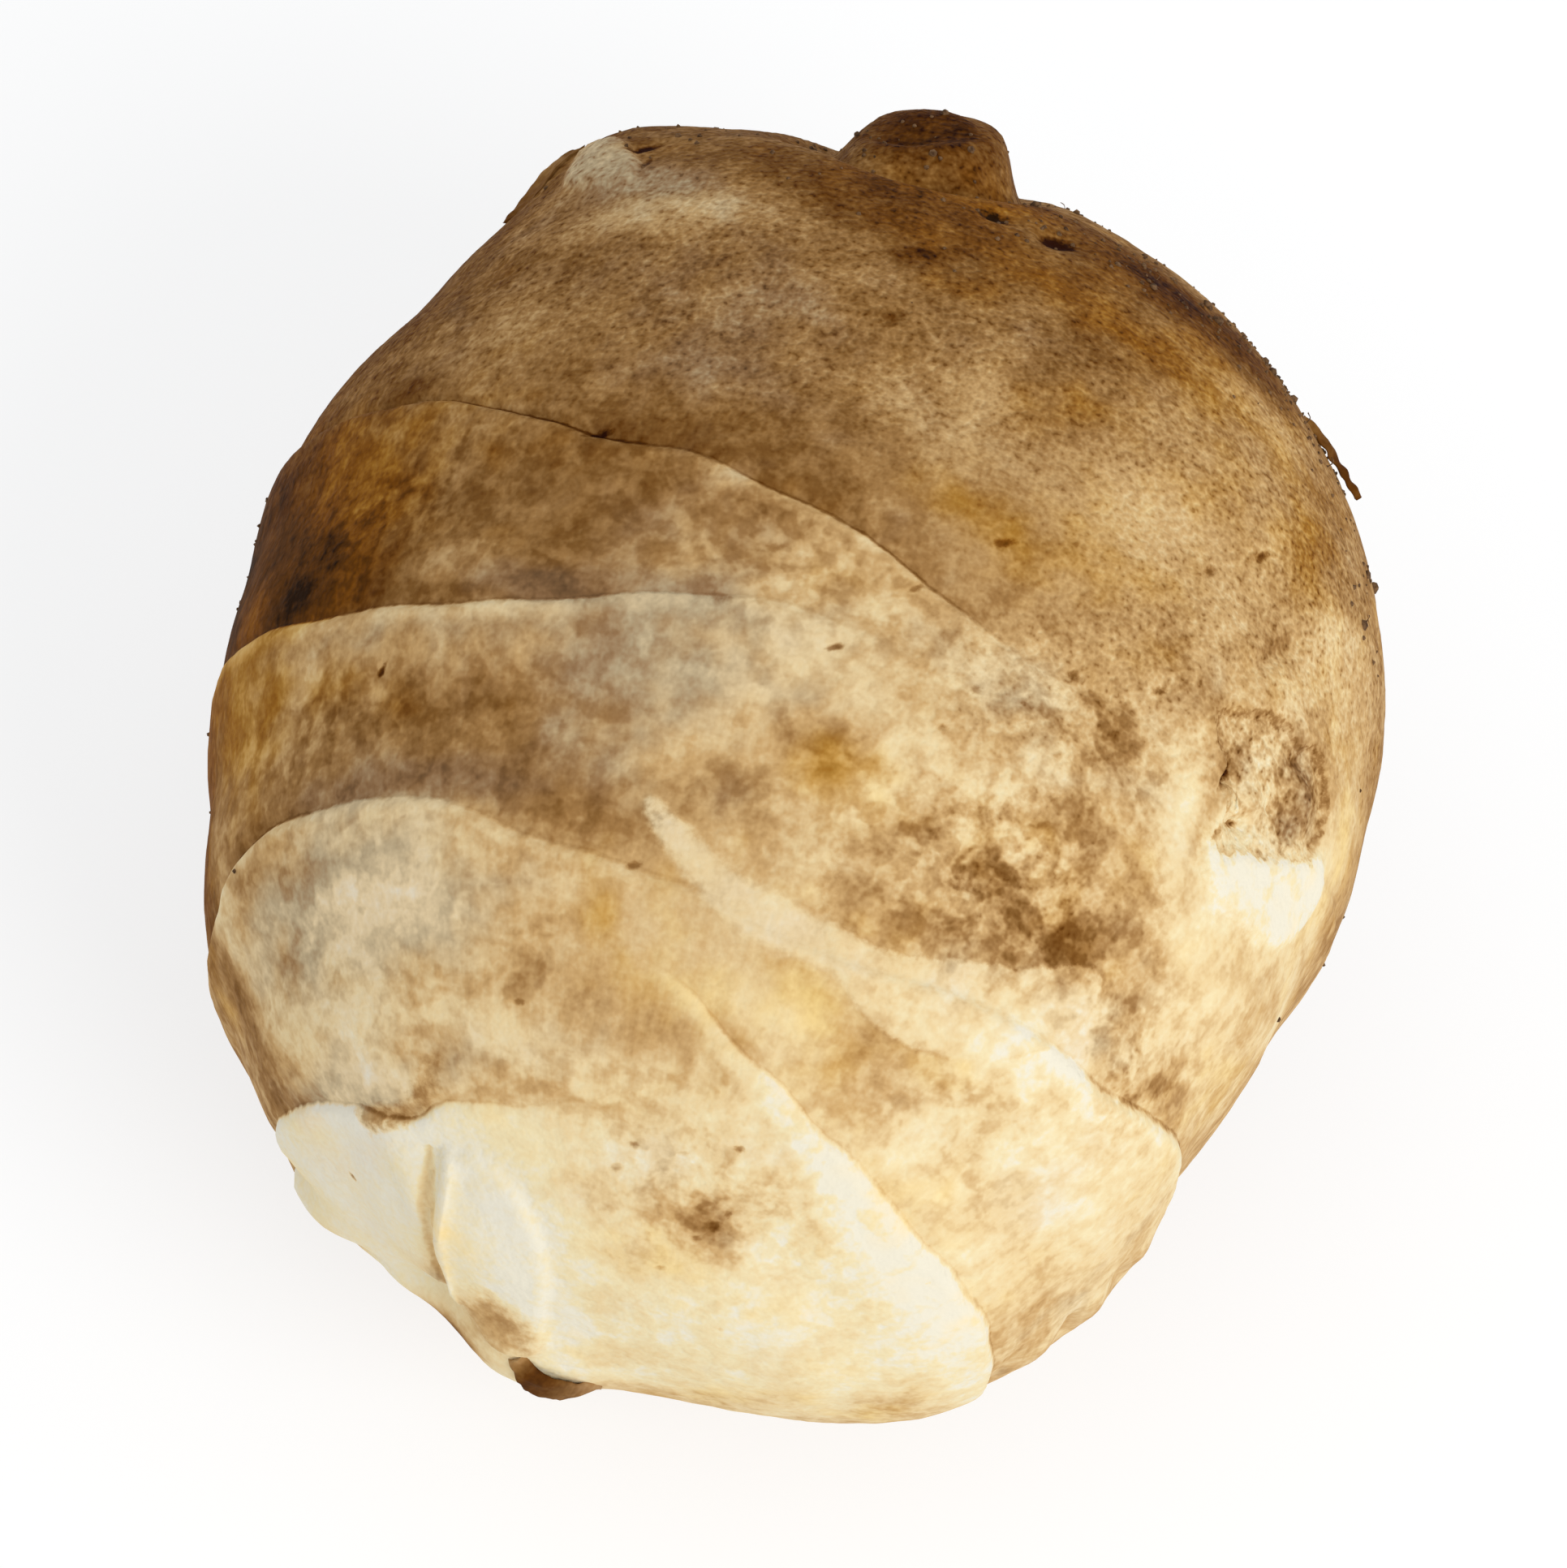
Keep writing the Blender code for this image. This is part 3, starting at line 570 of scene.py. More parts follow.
# Small marks and old root holes: along, around, half length and half width in mm, turn, depth in mm,
# how dark.
marks = [
    (61, 31, 0.60, 0.28, 5, 0.14, 0.45), (78, 9, 0.36, 0.16, 35, 0.05, 0.8),
    (70, -41, 0.34, 0.15, 50, 0.06, 1.0), (80, -4, 0.50, 0.24, 0, 0.05, 0.3),
    (87, 0, 0.95, 0.22, 10, 0.03, 0.2), (118, 4, 0.55, 0.38, 60, 0.05, 0.35),
    (128, 5, 0.42, 0.30, 0, 0.05, 0.35), (139, 12, 0.60, 0.42, 0, 0.30, 0.9),
    (138, 21, 0.70, 0.45, 20, 0.35, 0.9), (30, 21, 0.18, 0.16, 0, 0.03, 0.7),
    (21, 26, 0.26, 0.22, 0, 0.06, 0.4), (19, 24, 0.20, 0.15, 0, 0.04, 0.4),
    (23, 27, 0.16, 0.14, 0, 0.03, 0.4), (27, 12, 0.20, 0.12, 30, 0.03, 0.4),
    (31, 66, 0.22, 0.18, 0, 0.04, 0.6), (23, -1, 0.28, 0.16, 40, 0.03, 0.4),
    (27, -82, 0.24, 0.10, 60, 0.04, 0.9), (38, -20, 0.22, 0.14, 0, 0.03, 0.4),
    (96.5, -22, 0.55, 0.20, 20, 0.12, 0.7), (87, 15, 0.40, 0.14, 40, 0.05, 0.5),
    (92, 62, 0.60, 0.26, 20, 0.15, 0.35), (86, 61, 0.26, 0.18, 0, 0.15, 0.4),
    (84, 65, 0.26, 0.18, 40, 0.12, 0.4), (85, 53, 0.70, 0.18, 80, 0.25, 0.9),
    (82, 57, 0.55, 0.16, 20, 0.25, 0.9), (79.5, 54.5, 0.60, 0.16, 70, 0.20, 0.8),
    (137, -39, 0.70, 0.20, 60, 0.15, 0.9), (134, -36, 0.50, 0.16, 100, 0.10, 0.7),
    (95, 22, 0.45, 0.20, 40, 0.06, 0.6), (103, 44, 0.40, 0.22, 60, 0.06, 0.6),
    (108, 50, 0.50, 0.18, 50, 0.08, 0.7), (79, 24, 0.30, 0.20, 0, 0.05, 0.5),
    (74, 22, 0.26, 0.18, 30, 0.05, 0.5), (85, 33, 0.30, 0.22, 0, 0.05, 0.6),
    (88, 42, 0.34, 0.20, 40, 0.06, 0.6), (52, -6, 0.30, 0.16, 20, 0.05, 0.5),
    (26, 2, 0.22, 0.16, 0, 0.03, 0.5), (33, 34, 0.20, 0.16, 0, 0.03, 0.4),
    (14, 20, 0.24, 0.14, 50, 0.03, 0.5), (12, 60, 0.22, 0.14, 0, 0.03, 0.4),
]

# Swellings and hollows too small for the CAD tuber: along, around, half length and half width in mm,
# turn, height in mm.
bumps = [
    (150, -6, 1.7, 1.3, 0, -0.9),       # hollow in the end of the runner stub
    (148, -21, 1.5, 1.4, 0, -0.9), (152, -19, 1.2, 1.2, 0, -0.5),
    (153, 15, 1.2, 1.3, 0, -0.4),
    (138, -57, 1.8, 2.2, 0, 0.60),      # side bud
    (135, -44, 1.5, 1.6, 0, 0.50), (133, -31, 1.6, 0.8, 0, 0.25),
    (127, -40, 3.4, 1.2, 0, -0.25),
    (33, -110, 1.2, 2.2, 0, 0.50),      # lobes of the white leaf, and the notches between them
    (37, -104, 0.9, 1.8, 0, -0.70), (24, -117, 1.6, 1.6, 0, 0.55),
    (28, -115, 0.6, 1.4, 0, -0.35), (19, -112, 0.9, 2.0, 0, -0.90),
    (30, -75, 3.0, 1.6, 20, -0.30), (24, -60, 2.4, 0.9, 60, 0.30),
    (53, 100, 1.6, 0.7, 20, 0.25),      # wrinkled skin at the lower right
    (50, 102, 1.6, 0.5, 20, -0.35), (47, 103, 1.6, 0.7, 10, 0.30),
    (44, 105, 1.8, 0.5, 10, -0.40), (41, 106, 2.0, 0.8, 0, 0.30),
    (37, 108, 1.8, 0.5, 0, -0.35),
    (15, -60, 1.6, 2.6, 0, 0.25),       # bud scale at the tip
    (97, 52, 2.4, 0.5, 50, -0.12), (101, 56, 2.4, 0.4, 50, -0.12),
    (106, 60, 1.6, 1.0, 40, 0.10), (45, -30, 5.0, 3.0, 0, 0.20),
    (56, 38, 4.0, 2.0, 10, -0.20),
    (90, 64, 0.9, 0.7, 0, 0.30),        # crumbs of the raw patch
    (85, 58, 0.7, 0.6, 0, 0.25), (88, 66, 0.9, 1.2, 0, 0.20),
    (82, 58, 0.8, 0.5, 60, -0.25),
]

# Where soil and root hairs cling: along, around, half length and half width in mm, turn, how much.
soilSpots = [
    (141, 40, 7.0, 2.2, 0, 1.0), (136, 55, 4.0, 3.0, 0, 0.9),
    (125, 70, 3.0, 5.0, 0, 0.5), (143, -5, 7.0, 2.0, 0, 0.2),
    (148, -30, 6.0, 3.0, 0, 0.5), (165, 60, 9.0, 6.0, 0, 0.5),
    (79, 62, 3.0, 3.0, 0, -0.6), (120, 140, 12.0, 9.0, 0, 0.3),
    (110, -140, 12.0, 9.0, 0, 0.3), (100, -84, 2.0, 6.0, 0, 0.3),
]

# The tuber's shape

skin = {
    "cells": 128,                       # mesh squares along each side of the grid that wraps the tuber
    "pull": (0.03, -0.10, 0.20),        # crowds the mesh towards the tip and the top
    "stub": (151, -3, 5.2, 0.30),       # and round the runner stub: along, around, reach in mm, strength,
    "markPull": (0.3, 2.2, 0.55),       # round marks: least size in mm, reach in sizes, strength,
    "patchPull": (0.6, 0.5),            # and along patch edges: reach in mm, strength,
    "scarPull": (1.9, 0.72, 0.15),      # and scars: reach in degrees, strength, ledge that gets all of it
    "inset": 0.12,                      # mm left for the relief inside the real outline
    "wobble": ((9, 40, 0.25), (23, 0, 0.12)),   # a scar's waves: how many, shift from scar to scar, degrees
    "ledgeEdge": (-0.1, 0.3),           # mm over which a ledge rises beside its scar
    "ledgeReach": 4.5,                  # mm over which it dies out
    "creaseDepth": 0.14,
    "creaseWidth": 0.22,
    "creaseShift": 0.1,
    "rimHighlightFade": (0.4, 1.2),              # where a pale rim fades, in rim widths
    "softChange": 4,                    # mm over which the colour changes where a scar isn't crisp
    "mottleChange": 1,
    "scarWrinkle": (0.8, 1.3, 1.6),     # wrinkles beside a scar: how strong, how far off, half width in mm
    "patchEdge": 0.25,
    "markSpread": 1.2,
    "farGap": 5,                        # mm at which a patch's distance stops mattering
    "farMark": 4,                       # and a mark's, in sizes
    "whiteLeaf": (26, -78, 9, 6),       # smooth skin at the tip: along, around, half length and half width
    "sideWrinkles": (43, 104, 4, 4),    # folds at the right of the tip
    "sideWrinkle": 1.6,
    "startWrinkle": 0.12,
    "streaksFrom": (95, 70),            # along: where the long streaks begin
    "streaksTo": (10, 30),              # and where they end
    "roughFrom": (88, 115),             # where the rough runner end begins
    "soilStain": 0.10,
    "lumpHeight": 0.26,
    "lumpSize": 5.0,
    "dimpleHeight": 0.10,
    "dimpleSize": 1.5,
    "wrinkleHeight": 0.10,
    "wrinkleSize": 0.75,
    "streakHeight": 0.05,
    "streakSize": 0.6,
    "roughHeight": 0.13,
    "roughSize": 0.6,
}

# The runner stub's raised rim and steep side: distance from its middle, half width and height, in mm
stubMiddle = (153, -3)
stubRings = [(2.6, 0.7, 0.45), (4.2, 0.8, -0.8)]


# an even net of squares wrapped round a ball
def ballNet(cells):
    line = np.linspace(-1, 1, cells + 1)
    u, v = (side.ravel() for side in np.meshgrid(line, line, indexing="ij"))
    corner = np.arange((cells + 1) ** 2).reshape(cells + 1, cells + 1)
    square = np.stack([corner[:-1, :-1], corner[1:, :-1], corner[1:, 1:], corner[:-1, 1:]], -1).reshape(-1, 4)
    places, squares = [], []
    for axis in range(3):
        for sign in (-1, 1):
            side = np.empty((len(u), 3))
            side[:, axis] = sign
            side[:, (axis + 1) % 3] = u if sign > 0 else v
            side[:, (axis + 2) % 3] = v if sign > 0 else u
            squares.append(square + len(places) * len(u))
            places.append(np.tan(side * math.pi / 4))
    places, squares = np.concatenate(places), np.concatenate(squares)
    _, first, same = np.unique(np.round(places, 6), axis=0, return_index=True, return_inverse=True)
    return unit(places[first]), same.ravel()[squares]


# the CAD tuber, smoothed, as something to shine rays at
def castingBody():
    body = newObject("castingBody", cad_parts["tuber"].data.copy())
    net = bmesh.new()
    net.from_mesh(body.data)
    bmesh.ops.remove_doubles(net, verts=net.verts, dist=1e-6)
    net.to_mesh(body.data)
    net.free()
    smoother = body.modifiers.new("smoother", "SUBSURF")
    smoother.levels = smoother.render_levels = 2
    caster = BVHTree.FromObject(body, bpy.context.evaluated_depsgraph_get())
    bpy.data.objects.remove(body)
    return caster


def castRays(caster, rays):
    start = Vector(middle)
    return np.array([(caster.ray_cast(start, Vector(ray))[0] - start).length for ray in rays])


# draws the net's points towards a goal, the more so the nearer they are to it
def drawTo(rays, goal, far, strength):
    return unit(rays + (strength * hump(far, 1))[:, None] * (goal - rays))


# crowds the net beside each scar, round each patch and mark and on the stub, so that edges are crisp
def crowdNet(rays):
    *place, reach, strength = skin["stub"]
    rays = drawTo(rays, towards(*place), arcTo(rays, *place) / (reach * mm), strength)
    least, reach, strength = skin["markPull"]
    for mark in marks:
        far = arcTo(rays, *mark[:2]) / (max(mark[2], least) * reach * mm)
        rays = drawTo(rays, towards(*mark[:2]), far, strength)
    reach, strength = skin["patchPull"]
    for patch in patches.values():
        gap, nearest = nearestOn(rays, outlineOf(patch))
        rays = drawTo(rays, nearest, gap / (reach * mm), strength)
    along, around = placeAngles(rays)
    crowded = along.copy()
    reach, strength, fullLedge = skin["scarPull"]
    for ring in scarRings.values():
        gap = along - roundProfile(ring["course"], around)
        share = np.minimum(roundProfile(ring["ledge"], around) / fullLedge, 1)
        crowded -= strength * share * gap * hump(gap, reach)
    return towards(crowded, around)


rays, squares = ballNet(skin["cells"])
rays = crowdNet(unit(rays + np.array(skin["pull"])))
caster = castingBody()
radius = castRays(caster, rays) - skin["inset"] * mm
along, around = placeAngles(rays)
print("net of", len(rays), "points wrapped round the tuber")

fields = {}     # what the skin's material and relief read, by name
bands = [roundProfile(band, around) for band in bandStains]
stain = bands[0].copy()
mottle = np.full(len(rays), bandMottle[0])
wrinkle = np.full(len(rays), skin["startWrinkle"])
for number, (name, ring) in enumerate(scarRings.items()):
    wobble = sum(
        size * np.sin(np.radians(around * waves + shift * number)) for waves, shift, size in skin["wobble"]
    )
    gap = (roundProfile(ring["course"], around) + wobble - along) * math.pi / 180 * radius
    crease, crisp, ledge, rim, width = (
        roundProfile(ring[part], around) for part in ("crease", "crisp", "ledge", "rim", "rimHighlightWidth")
    )
    change = bands[number + 1] - bands[number]
    rise = ease(*np.array(skin["ledgeEdge"]) * mm, gap)
    radius += ledge * mm * rise * np.exp(-np.maximum(gap, 0) / (skin["ledgeReach"] * mm))
    beside = gap + skin["creaseShift"] * mm
    radius -= skin["creaseDepth"] * mm * crease * hump(beside, skin["creaseWidth"] * mm)
    stain += (1 - crisp) * change * ease(-skin["softChange"] * mm, skin["softChange"] * mm, gap)
    soft = skin["mottleChange"] * mm
    mottle += (bandMottle[number + 1] - bandMottle[number]) * ease(-soft, soft, gap)
    strength, off, half = skin["scarWrinkle"]
    wrinkle += strength * crease * hump(gap + off * mm, half * mm)
    fields[name + "Gap"] = gap
    # the change of colour across a scar, less its pale rim, which is partly a painted highlight on the
    # ledge's lit step
    fields[name + "Change"] = change * crisp - rim * (1 - ease(*skin["rimHighlightFade"], gap / (width * mm)))
    fields[name + "Crease"] = crease

tint = np.zeros(len(rays))
for place in sum(clouds.values(), []):
    held = spotField(rays, *place[:4], *place[6:])
    stain += held * place[4]
    tint += held * place[5]
mottle += spotSum(rays, blotchySpots)

for name, patch in patches.items():
    gap = outlineField(rays, patch)
    edge = skin["patchEdge"] * mm
    radius += patch["rise"] * mm * ease(-edge, edge, gap)
    edge = max(edge, patch["soft"] * mm)
    tint += (patch["tint"] - tint) * ease(-edge, edge, gap) * patch["hold"]
    fields[name + "Gap"] = np.maximum(gap, -skin["farGap"] * mm)

# how far each ray is from a mark, in marks' own sizes, and how dark the nearest one is
fields["markGap"], fields["markDark"] = np.full(len(rays), float(skin["farMark"])), np.zeros(len(rays))
for *place, long, wide, turn, depth, dark in marks:
    far = np.sqrt(-np.log(np.maximum(spotField(rays, *place, long, wide, turn), 1e-12))) - 1
    fields["markDark"] = np.where(far < fields["markGap"], dark, fields["markDark"])
    fields["markGap"] = np.minimum(far, fields["markGap"])
    long, wide = long * skin["markSpread"], wide * skin["markSpread"]
    radius -= depth * mm * spotField(rays, *place, long, wide, turn)
radius += spotSum(rays, bumps) * mm
for distance, half, height in stubRings:
    radius += height * mm * hump(arcTo(rays, *stubMiddle) / mm - distance, half)

soil = spotSum(rays, soilSpots)
whiteLeaf = ease(0, 0.6 * mm, fields["leftLeafEdgeGap"]) * spotField(rays, *skin["whiteLeaf"])
raw = ease(0, 0.3 * mm, fields["rawPatchGap"])
calm = (1 - 0.9 * np.minimum(whiteLeaf * 2, 1)) * (1 - 0.6 * ease(0, 0.5 * mm, fields["strapGap"]))
fields["stain"] = stain + skin["soilStain"] * np.minimum(soil, 1)
fields["tint"] = tint
fields["mottle"] = mottle * calm
fields["wrinkle"] = np.clip(wrinkle + skin["sideWrinkle"] * spotField(rays, *skin["sideWrinkles"]), 0, 2)
lengthwise = ease(*skin["streaksFrom"], along) * ease(*skin["streaksTo"], along)
fields["streak"] = lengthwise * (1 - np.minimum(whiteLeaf * 1.5, 1))
fields["rough"] = np.clip(ease(*skin["roughFrom"], along) + spotSum(rays, roughSpots) + raw, 0, 2)
fields["soil"] = soil


def meshFrom(name, points, faces):
    mesh = bpy.data.meshes.new(name)
    mesh.vertices.add(len(points))
    mesh.vertices.foreach_set("co", np.asarray(points, np.float32).ravel())
    mesh.loops.add(faces.size)
    mesh.loops.foreach_set("vertex_index", faces.ravel())
    mesh.polygons.add(len(faces))
    mesh.polygons.foreach_set("loop_start", np.arange(len(faces)) * faces.shape[1])
    mesh.update(calc_edges=True)
    mesh.validate()
    return newObject(name, mesh)


def addField(mesh, name, values):
    kind, part = ("FLOAT", "value") if values.ndim == 1 else ("FLOAT_VECTOR", "vector")
    slot = mesh.attributes.new(name, kind, "POINT")
    slot.data.foreach_set(part, np.asarray(values, np.float32).ravel())


# Small helpers for node trees

def addNode(tree, kind, inputs=None, **settings):
    node = tree.nodes.new(kind)
    for name, value in settings.items():
        setattr(node, name, value)
    for name, value in (inputs or {}).items():
        plug(tree, node, name, value)
    return node


def plug(tree, node, name, value):
    socket = node.inputs[name]
    if isinstance(value, bpy.types.NodeSocket):
        tree.links.new(value, socket)
    else:
        socket.default_value = value


def calc(tree, operation, *values, clamp=False):
    inputs = dict(enumerate(values))
    return addNode(tree, "ShaderNodeMath", inputs, operation=operation, use_clamp=clamp).outputs[0]


def calcVector(tree, operation, first, second):
    inputs = {0: first, "Scale" if operation == "SCALE" else 1: second}
    return addNode(tree, "ShaderNodeVectorMath", inputs, operation=operation).outputs["Vector"]


def remap(tree, value, fromLow, fromHigh, toLow=0.0, toHigh=1.0):
    inputs = dict(enumerate((value, fromLow, fromHigh, toLow, toHigh)))
    return addNode(tree, "ShaderNodeMapRange", inputs, interpolation_type="SMOOTHSTEP").outputs[0]


# noise with its middle at 0. size is in mm, and a seed gives another pattern
def noiseField(tree, vector, size, detail=2.0, roughness=0.5, distortion=0.0, seed=None):
    inputs = {"Vector": vector, "Scale": 1 / (size * mm), "Detail": detail, "Roughness": roughness,
              "Distortion": distortion}
    if seed is not None:
        inputs["W"] = seed
    node = addNode(tree, "ShaderNodeTexNoise", inputs, noise_dimensions="3D" if seed is None else "4D")
    return calc(tree, "SUBTRACT", node.outputs[0], 0.5)


def mixColour(tree, amount, first, second):
    return addNode(tree, "ShaderNodeMix", {0: amount, 6: first, 7: second}, data_type="RGBA").outputs[2]


def mixValue(tree, amount, first, second):
    return addNode(tree, "ShaderNodeMix", {0: amount, 2: first, 3: second}, data_type="FLOAT").outputs[0]


def addBump(tree, shader, height, strength, distance):
    inputs = {"Strength": strength, "Distance": distance * mm, "Height": height}
    plug(tree, shader, "Normal", addNode(tree, "ShaderNodeBump", inputs).outputs[0])


# The skin's relief, in geometry nodes

def namedField(tree, name, kind="FLOAT"):
    node = addNode(tree, "GeometryNodeInputNamedAttribute", {"Name": name}, data_type=kind)
    return node.outputs["Attribute"]


# a new geometry tree with its inputs, and the node that holds them
def startTree(name, **sizes):
    tree = bpy.data.node_groups.new(name, "GeometryNodeTree")
    sockets = tree.interface
    sockets.new_socket("Geometry", in_out="INPUT", socket_type="NodeSocketGeometry")
    for label, value in sizes.items():
        sockets.new_socket(label, in_out="INPUT", socket_type="NodeSocketFloat").default_value = value
    sockets.new_socket("Seed", in_out="INPUT", socket_type="NodeSocketInt")
    sockets.new_socket("Material", in_out="INPUT", socket_type="NodeSocketMaterial")
    sockets.new_socket("Geometry", in_out="OUTPUT", socket_type="NodeSocketGeometry")
    return tree, addNode(tree, "NodeGroupInput")


def closeTree(tree, given, geometry):
    realize = addNode(tree, "GeometryNodeRealizeInstances", {0: geometry})
    inputs = {"Geometry": realize.outputs[0], "Material": given.outputs["Material"]}
    dress = addNode(tree, "GeometryNodeSetMaterial", inputs)
    addNode(tree, "NodeGroupOutput", {0: dress.outputs[0]})
    return tree


def moveBy(tree, geometry, offset):
    return addNode(tree, "GeometryNodeSetPosition", {"Geometry": geometry, "Offset": offset}).outputs[0]


def reliefTree():
    parts = ("lump", "dimple", "wrinkle", "streak", "rough")
    tree, given = startTree("skinRelief", **{part + "Height": skin[part + "Height"] * mm for part in parts})
    position = addNode(tree, "GeometryNodeInputPosition").outputs[0]
    flat = namedField(tree, "unrolled", "FLOAT_VECTOR")
    rings = calcVector(tree, "MULTIPLY", flat, (0.16, 0.16, 1))
    length = calcVector(tree, "MULTIPLY", flat, (1, 1, 0.15))
    total = 0.0
    for part, vector, detail, held in (
        ("lump", position, 2, False), ("dimple", position, 3, False), ("wrinkle", rings, 3, True),
        ("streak", length, 2, True), ("rough", position, 3, True),
    ):
        swell = noiseField(tree, vector, skin[part + "Size"], detail, 0.6, 0.2, given.outputs["Seed"])
        swell = calc(tree, "MULTIPLY", swell, given.outputs[part + "Height"])
        if held:
            swell = calc(tree, "MULTIPLY", swell, namedField(tree, part))
        total = calc(tree, "ADD", total, swell)
    normal = addNode(tree, "GeometryNodeInputNormal").outputs[0]
    moved = moveBy(tree, given.outputs["Geometry"], calcVector(tree, "SCALE", normal, total))
    return closeTree(tree, given, moved)


# runs a tree on a piece and gives back the result as a plain piece
def grow(piece, tree, values, name):
    maker = piece.modifiers.new("maker", "NODES")
    maker.node_group = tree
    for socket in tree.interface.items_tree:
        if socket.in_out == "INPUT" and socket.name in values:
            maker[socket.identifier] = values[socket.name]
    seen = piece.evaluated_get(bpy.context.evaluated_depsgraph_get())
    mesh = bpy.data.meshes.new_from_object(seen)
    mesh.name = name
    mesh.shade_smooth()
    piece.modifiers.remove(maker)
    return newObject(name, mesh)


# The skin's material

skinColours = {
    # stain and the skin's colour there
    "ramp": [(0.00, (0.76, 0.71, 0.575)), (0.10, (0.78, 0.665, 0.41)), (0.25, (0.73, 0.555, 0.298)),
             (0.40, (0.562, 0.356, 0.152)), (0.55, (0.346, 0.184, 0.062)), (0.68, (0.204, 0.093, 0.022)),
             (0.82, (0.112, 0.036, 0.003)), (1.00, (0.024, 0.004, 0.001))],
    "straw": (1.38, 1.0, 0.40),         # hues the skin turns to: one way straw where it is pale and
    "ochre": (2.15, 1.0, 0.13),         # ochre and then rust where it is dark, and the other way
    "rust": (3.10, 1.0, 0.05),
    "pale": (1.06, 1.0, 0.84),          # cool white where it is palest, then grey, and
    "grey": (1.28, 1.0, 0.60),          # mauve where it is dark
    "mauve": (1.90, 1.0, 0.42),
    "fullHue": 1.1,                     # the tint at which a hue is full
    "hueNoise": 1.8,                    # how much the tint wanders
    "roughness": (0.52, 0.72),
    "roughnessNoise": 0.3,
    "specular": 0.03,
    "bump": (0.55, 0.16),               # strength, and depth in mm
    "raggedEdge": 0.25,                 # how ragged a scar's edge is, in mm, and half its width
    "edge": 0.10,
    # the dark lines along scars and patch edges are painted shade, with dirt in the scars' creases
    "lineStart": 0.02,                  # half width in mm of a line's darkest part,
    "scarLine": 0.16,                   # of a scar's whole line, and of a patch's
    "patchLine": 0.2,
    "raggedMarks": 2.0,
    "cloudy": 0.20,                     # how strong each pattern is
    "mottle": 0.24,
    "spots": 0.14,
    "grain": 0.24,
    "streaks": 0.12,
    "bandings": 0.20,
    "pores": 0.07,
    "shadeAndDirtLines": 0.22,
    "marks": 0.45,
}


